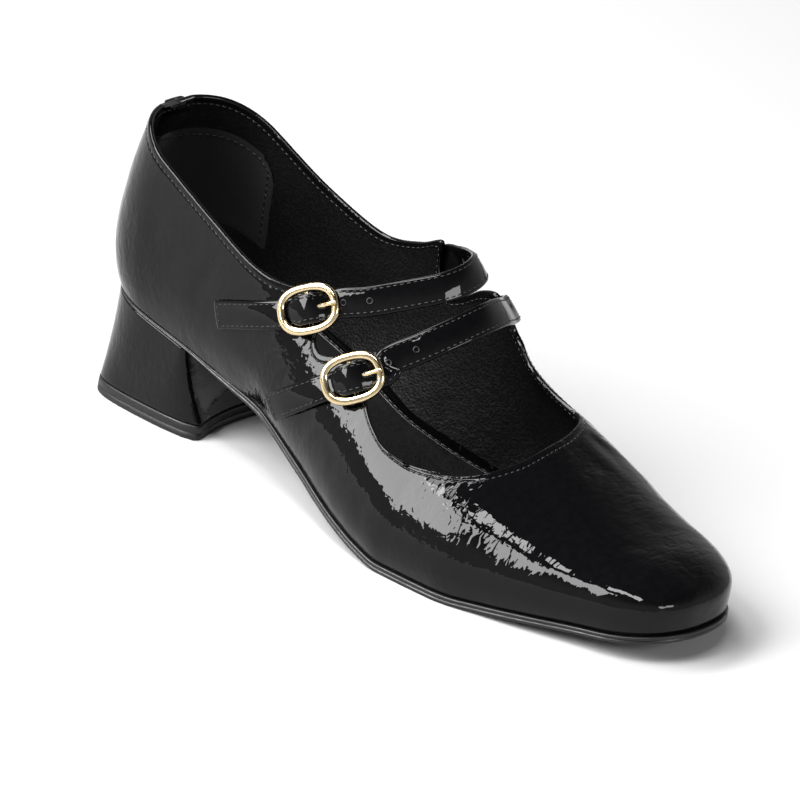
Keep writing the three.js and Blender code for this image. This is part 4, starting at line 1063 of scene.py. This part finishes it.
def gold_buckle(tag, ax):
    """A racetrack ring of flattened wire, its centre bar and its prong."""
    steps, sides, corner = 128, 24, 2 / 2.6
    turn = circle(steps)
    r = RING["wire"] / 2 + 0.17
    hl, hw = RING["length"] / 2 - r, RING["width"] / 2 - r
    c, sn = np.cos(turn), np.sin(turn)
    a, w = hl * np.sign(c) * np.abs(c) ** corner, hw * np.sign(sn) * np.abs(sn) ** corner
    line = ax["middle"] + ax["along"] * a[:, None] + ax["across"] * w[:, None]
    line = spaced(line, steps, closed=True)
    tangent = unit(np.roll(line, -1, 0) - np.roll(line, 1, 0))
    side = np.cross(tangent, ax["out"])
    roll = circle(sides)
    flat = np.sign(np.sin(roll)) * np.abs(np.sin(roll)) ** 0.85 * r * RING["flat"]
    loops = (line[:, None] + side[:, None] * (np.cos(roll) * r)[None, :, None]
             + ax["out"] * flat[None, :, None])
    ringed(f"buckle_ring_{tag}", loops, gold, "gold", ["buckle_frame_" + tag])
    k = np.linspace(-1, 1, 25)
    drop = 0.9 * (1 - np.abs(k) ** 6) + 0.2
    bar = ax["middle"] + ax["across"] * (k * hw)[:, None] - ax["out"] * drop[:, None]
    tube(f"buckle_bar_{tag}", bar, np.full(25, 0.7), [])
    rest = r * RING["flat"] + 0.12 + 0.7
    lies = [(3.4, 0.1), (4.9, 1.0), (6.4, 1.45), (7.8, rest), (9.2, rest + 0.08),
            (10.2, rest - 0.12)]
    t = np.linspace(0, 1, 40)
    path = spline([in_buckle(ax, a, 0, h) for a, h in lies], t)
    sizes = np.interp(t, [0, 0.1, 0.7, 0.94, 0.98, 1], [0.72, 0.78, 0.74, 0.62, 0.5, 0.22])
    tube(f"buckle_prong_{tag}_pin", path, sizes, ["buckle_prong_" + tag])


for tag, data in STRAPS.items():
    axes = buckle_axes(BUCKLES[tag])
    leather_strap(tag, data, axes)
    buckle_tab(tag, BUCKLES[tag], axes)
    gold_buckle(tag, axes)


# ---------------- stage, light, camera
floor_mesh = bpy.data.meshes.new("floor")
floor_mesh.from_pydata([(-9, -9, 0), (9, -9, 0), (9, 9, 0), (-9, 9, 0)], [], [(0, 1, 2, 3)])
floor = placed("floor", floor_mesh)
paper = Look("floor_paper", (0.36, 0.36, 0.36), 0.9, ior=1.2)
paper.colors(paper.noise(paper.mm, 0.004, 2.0), (0.38, 0.38, 0.38), (0.395, 0.395, 0.395))
floor_mesh.materials.append(paper.m)


def softbox(name, centre, aim, width, height, power, turn=0.0):
    light = bpy.data.lights.new(name, "AREA")
    light.shape, light.size, light.size_y, light.energy = "RECTANGLE", width, height, power
    o = placed(name, light)
    o.location = centre
    facing = (Vector(aim) - Vector(centre)).to_track_quat("-Z", "Y").to_matrix()
    if turn or abs(aim[0] - centre[0]) + abs(aim[1] - centre[1]) < 1e-9:
        facing = Matrix.Rotation(math.radians(turn), 3, "Z")
    o.rotation_euler = facing.to_euler()


softbox("side_panel", (-1.372, 0.729, 1.259), (0, 0, 0.03), 1.26, 1.4, 110)
softbox("back_bar", (-0.2, 0.82, 1.5), (-0.2, 0.82, 0), 1.25, 0.56, 30)
softbox("overhead_front", (-0.6, -0.2, 1.6), (-0.6, -0.2, 0), 0.3, 0.85, 20)
softbox("front_low", (-0.15, -1.76, 0.94), (0, -0.05, 0.03), 0.75, 0.4, 13)

# The studio's surroundings: bright at the sides, dark overhead.
world = bpy.data.worlds.new("studio")
bpy.context.scene.world = world
world.use_nodes = True
nodes, links = world.node_tree.nodes, world.node_tree.links
sky = nodes.new("ShaderNodeTexCoord")
sky_axes = nodes.new("ShaderNodeSeparateXYZ")
wall = nodes.new("ShaderNodeMapRange")
wall.interpolation_type = "SMOOTHSTEP"
for key, value in {"From Min": 0.3, "From Max": 0.8, "To Min": 0.6, "To Max": 0.02}.items():
    wall.inputs[key].default_value = value
links.new(sky.outputs["Generated"], sky_axes.inputs[0])
links.new(sky_axes.outputs["Z"], wall.inputs["Value"])
links.new(wall.outputs[0], nodes["Background"].inputs["Strength"])
nodes["Background"].inputs[0].default_value = (1, 1, 1, 1)

camera = bpy.data.cameras.new("camera")
camera.sensor_width = 36
camera.lens = 283
camera.clip_start, camera.clip_end = 0.05, 60
cam = placed("camera", camera)
eye = Vector((-1.3991, -1.1379, 0.8640))
up_hint = Vector((0.2353, 0.3598, 0.9029))      # the photographed shoe is rolled by about 8 degrees
target = Vector((0.0, 0.005, 0.036))
forward = (target - eye).normalized()
right = forward.cross(up_hint).normalized()
upward = right.cross(forward)
camera_turn = Matrix((right, upward, -forward)).transposed()
cam.matrix_world = Matrix.Translation(eye) @ camera_turn.to_4x4()
bpy.context.scene.camera = cam
bpy.context.scene.view_settings.view_transform = "Standard"
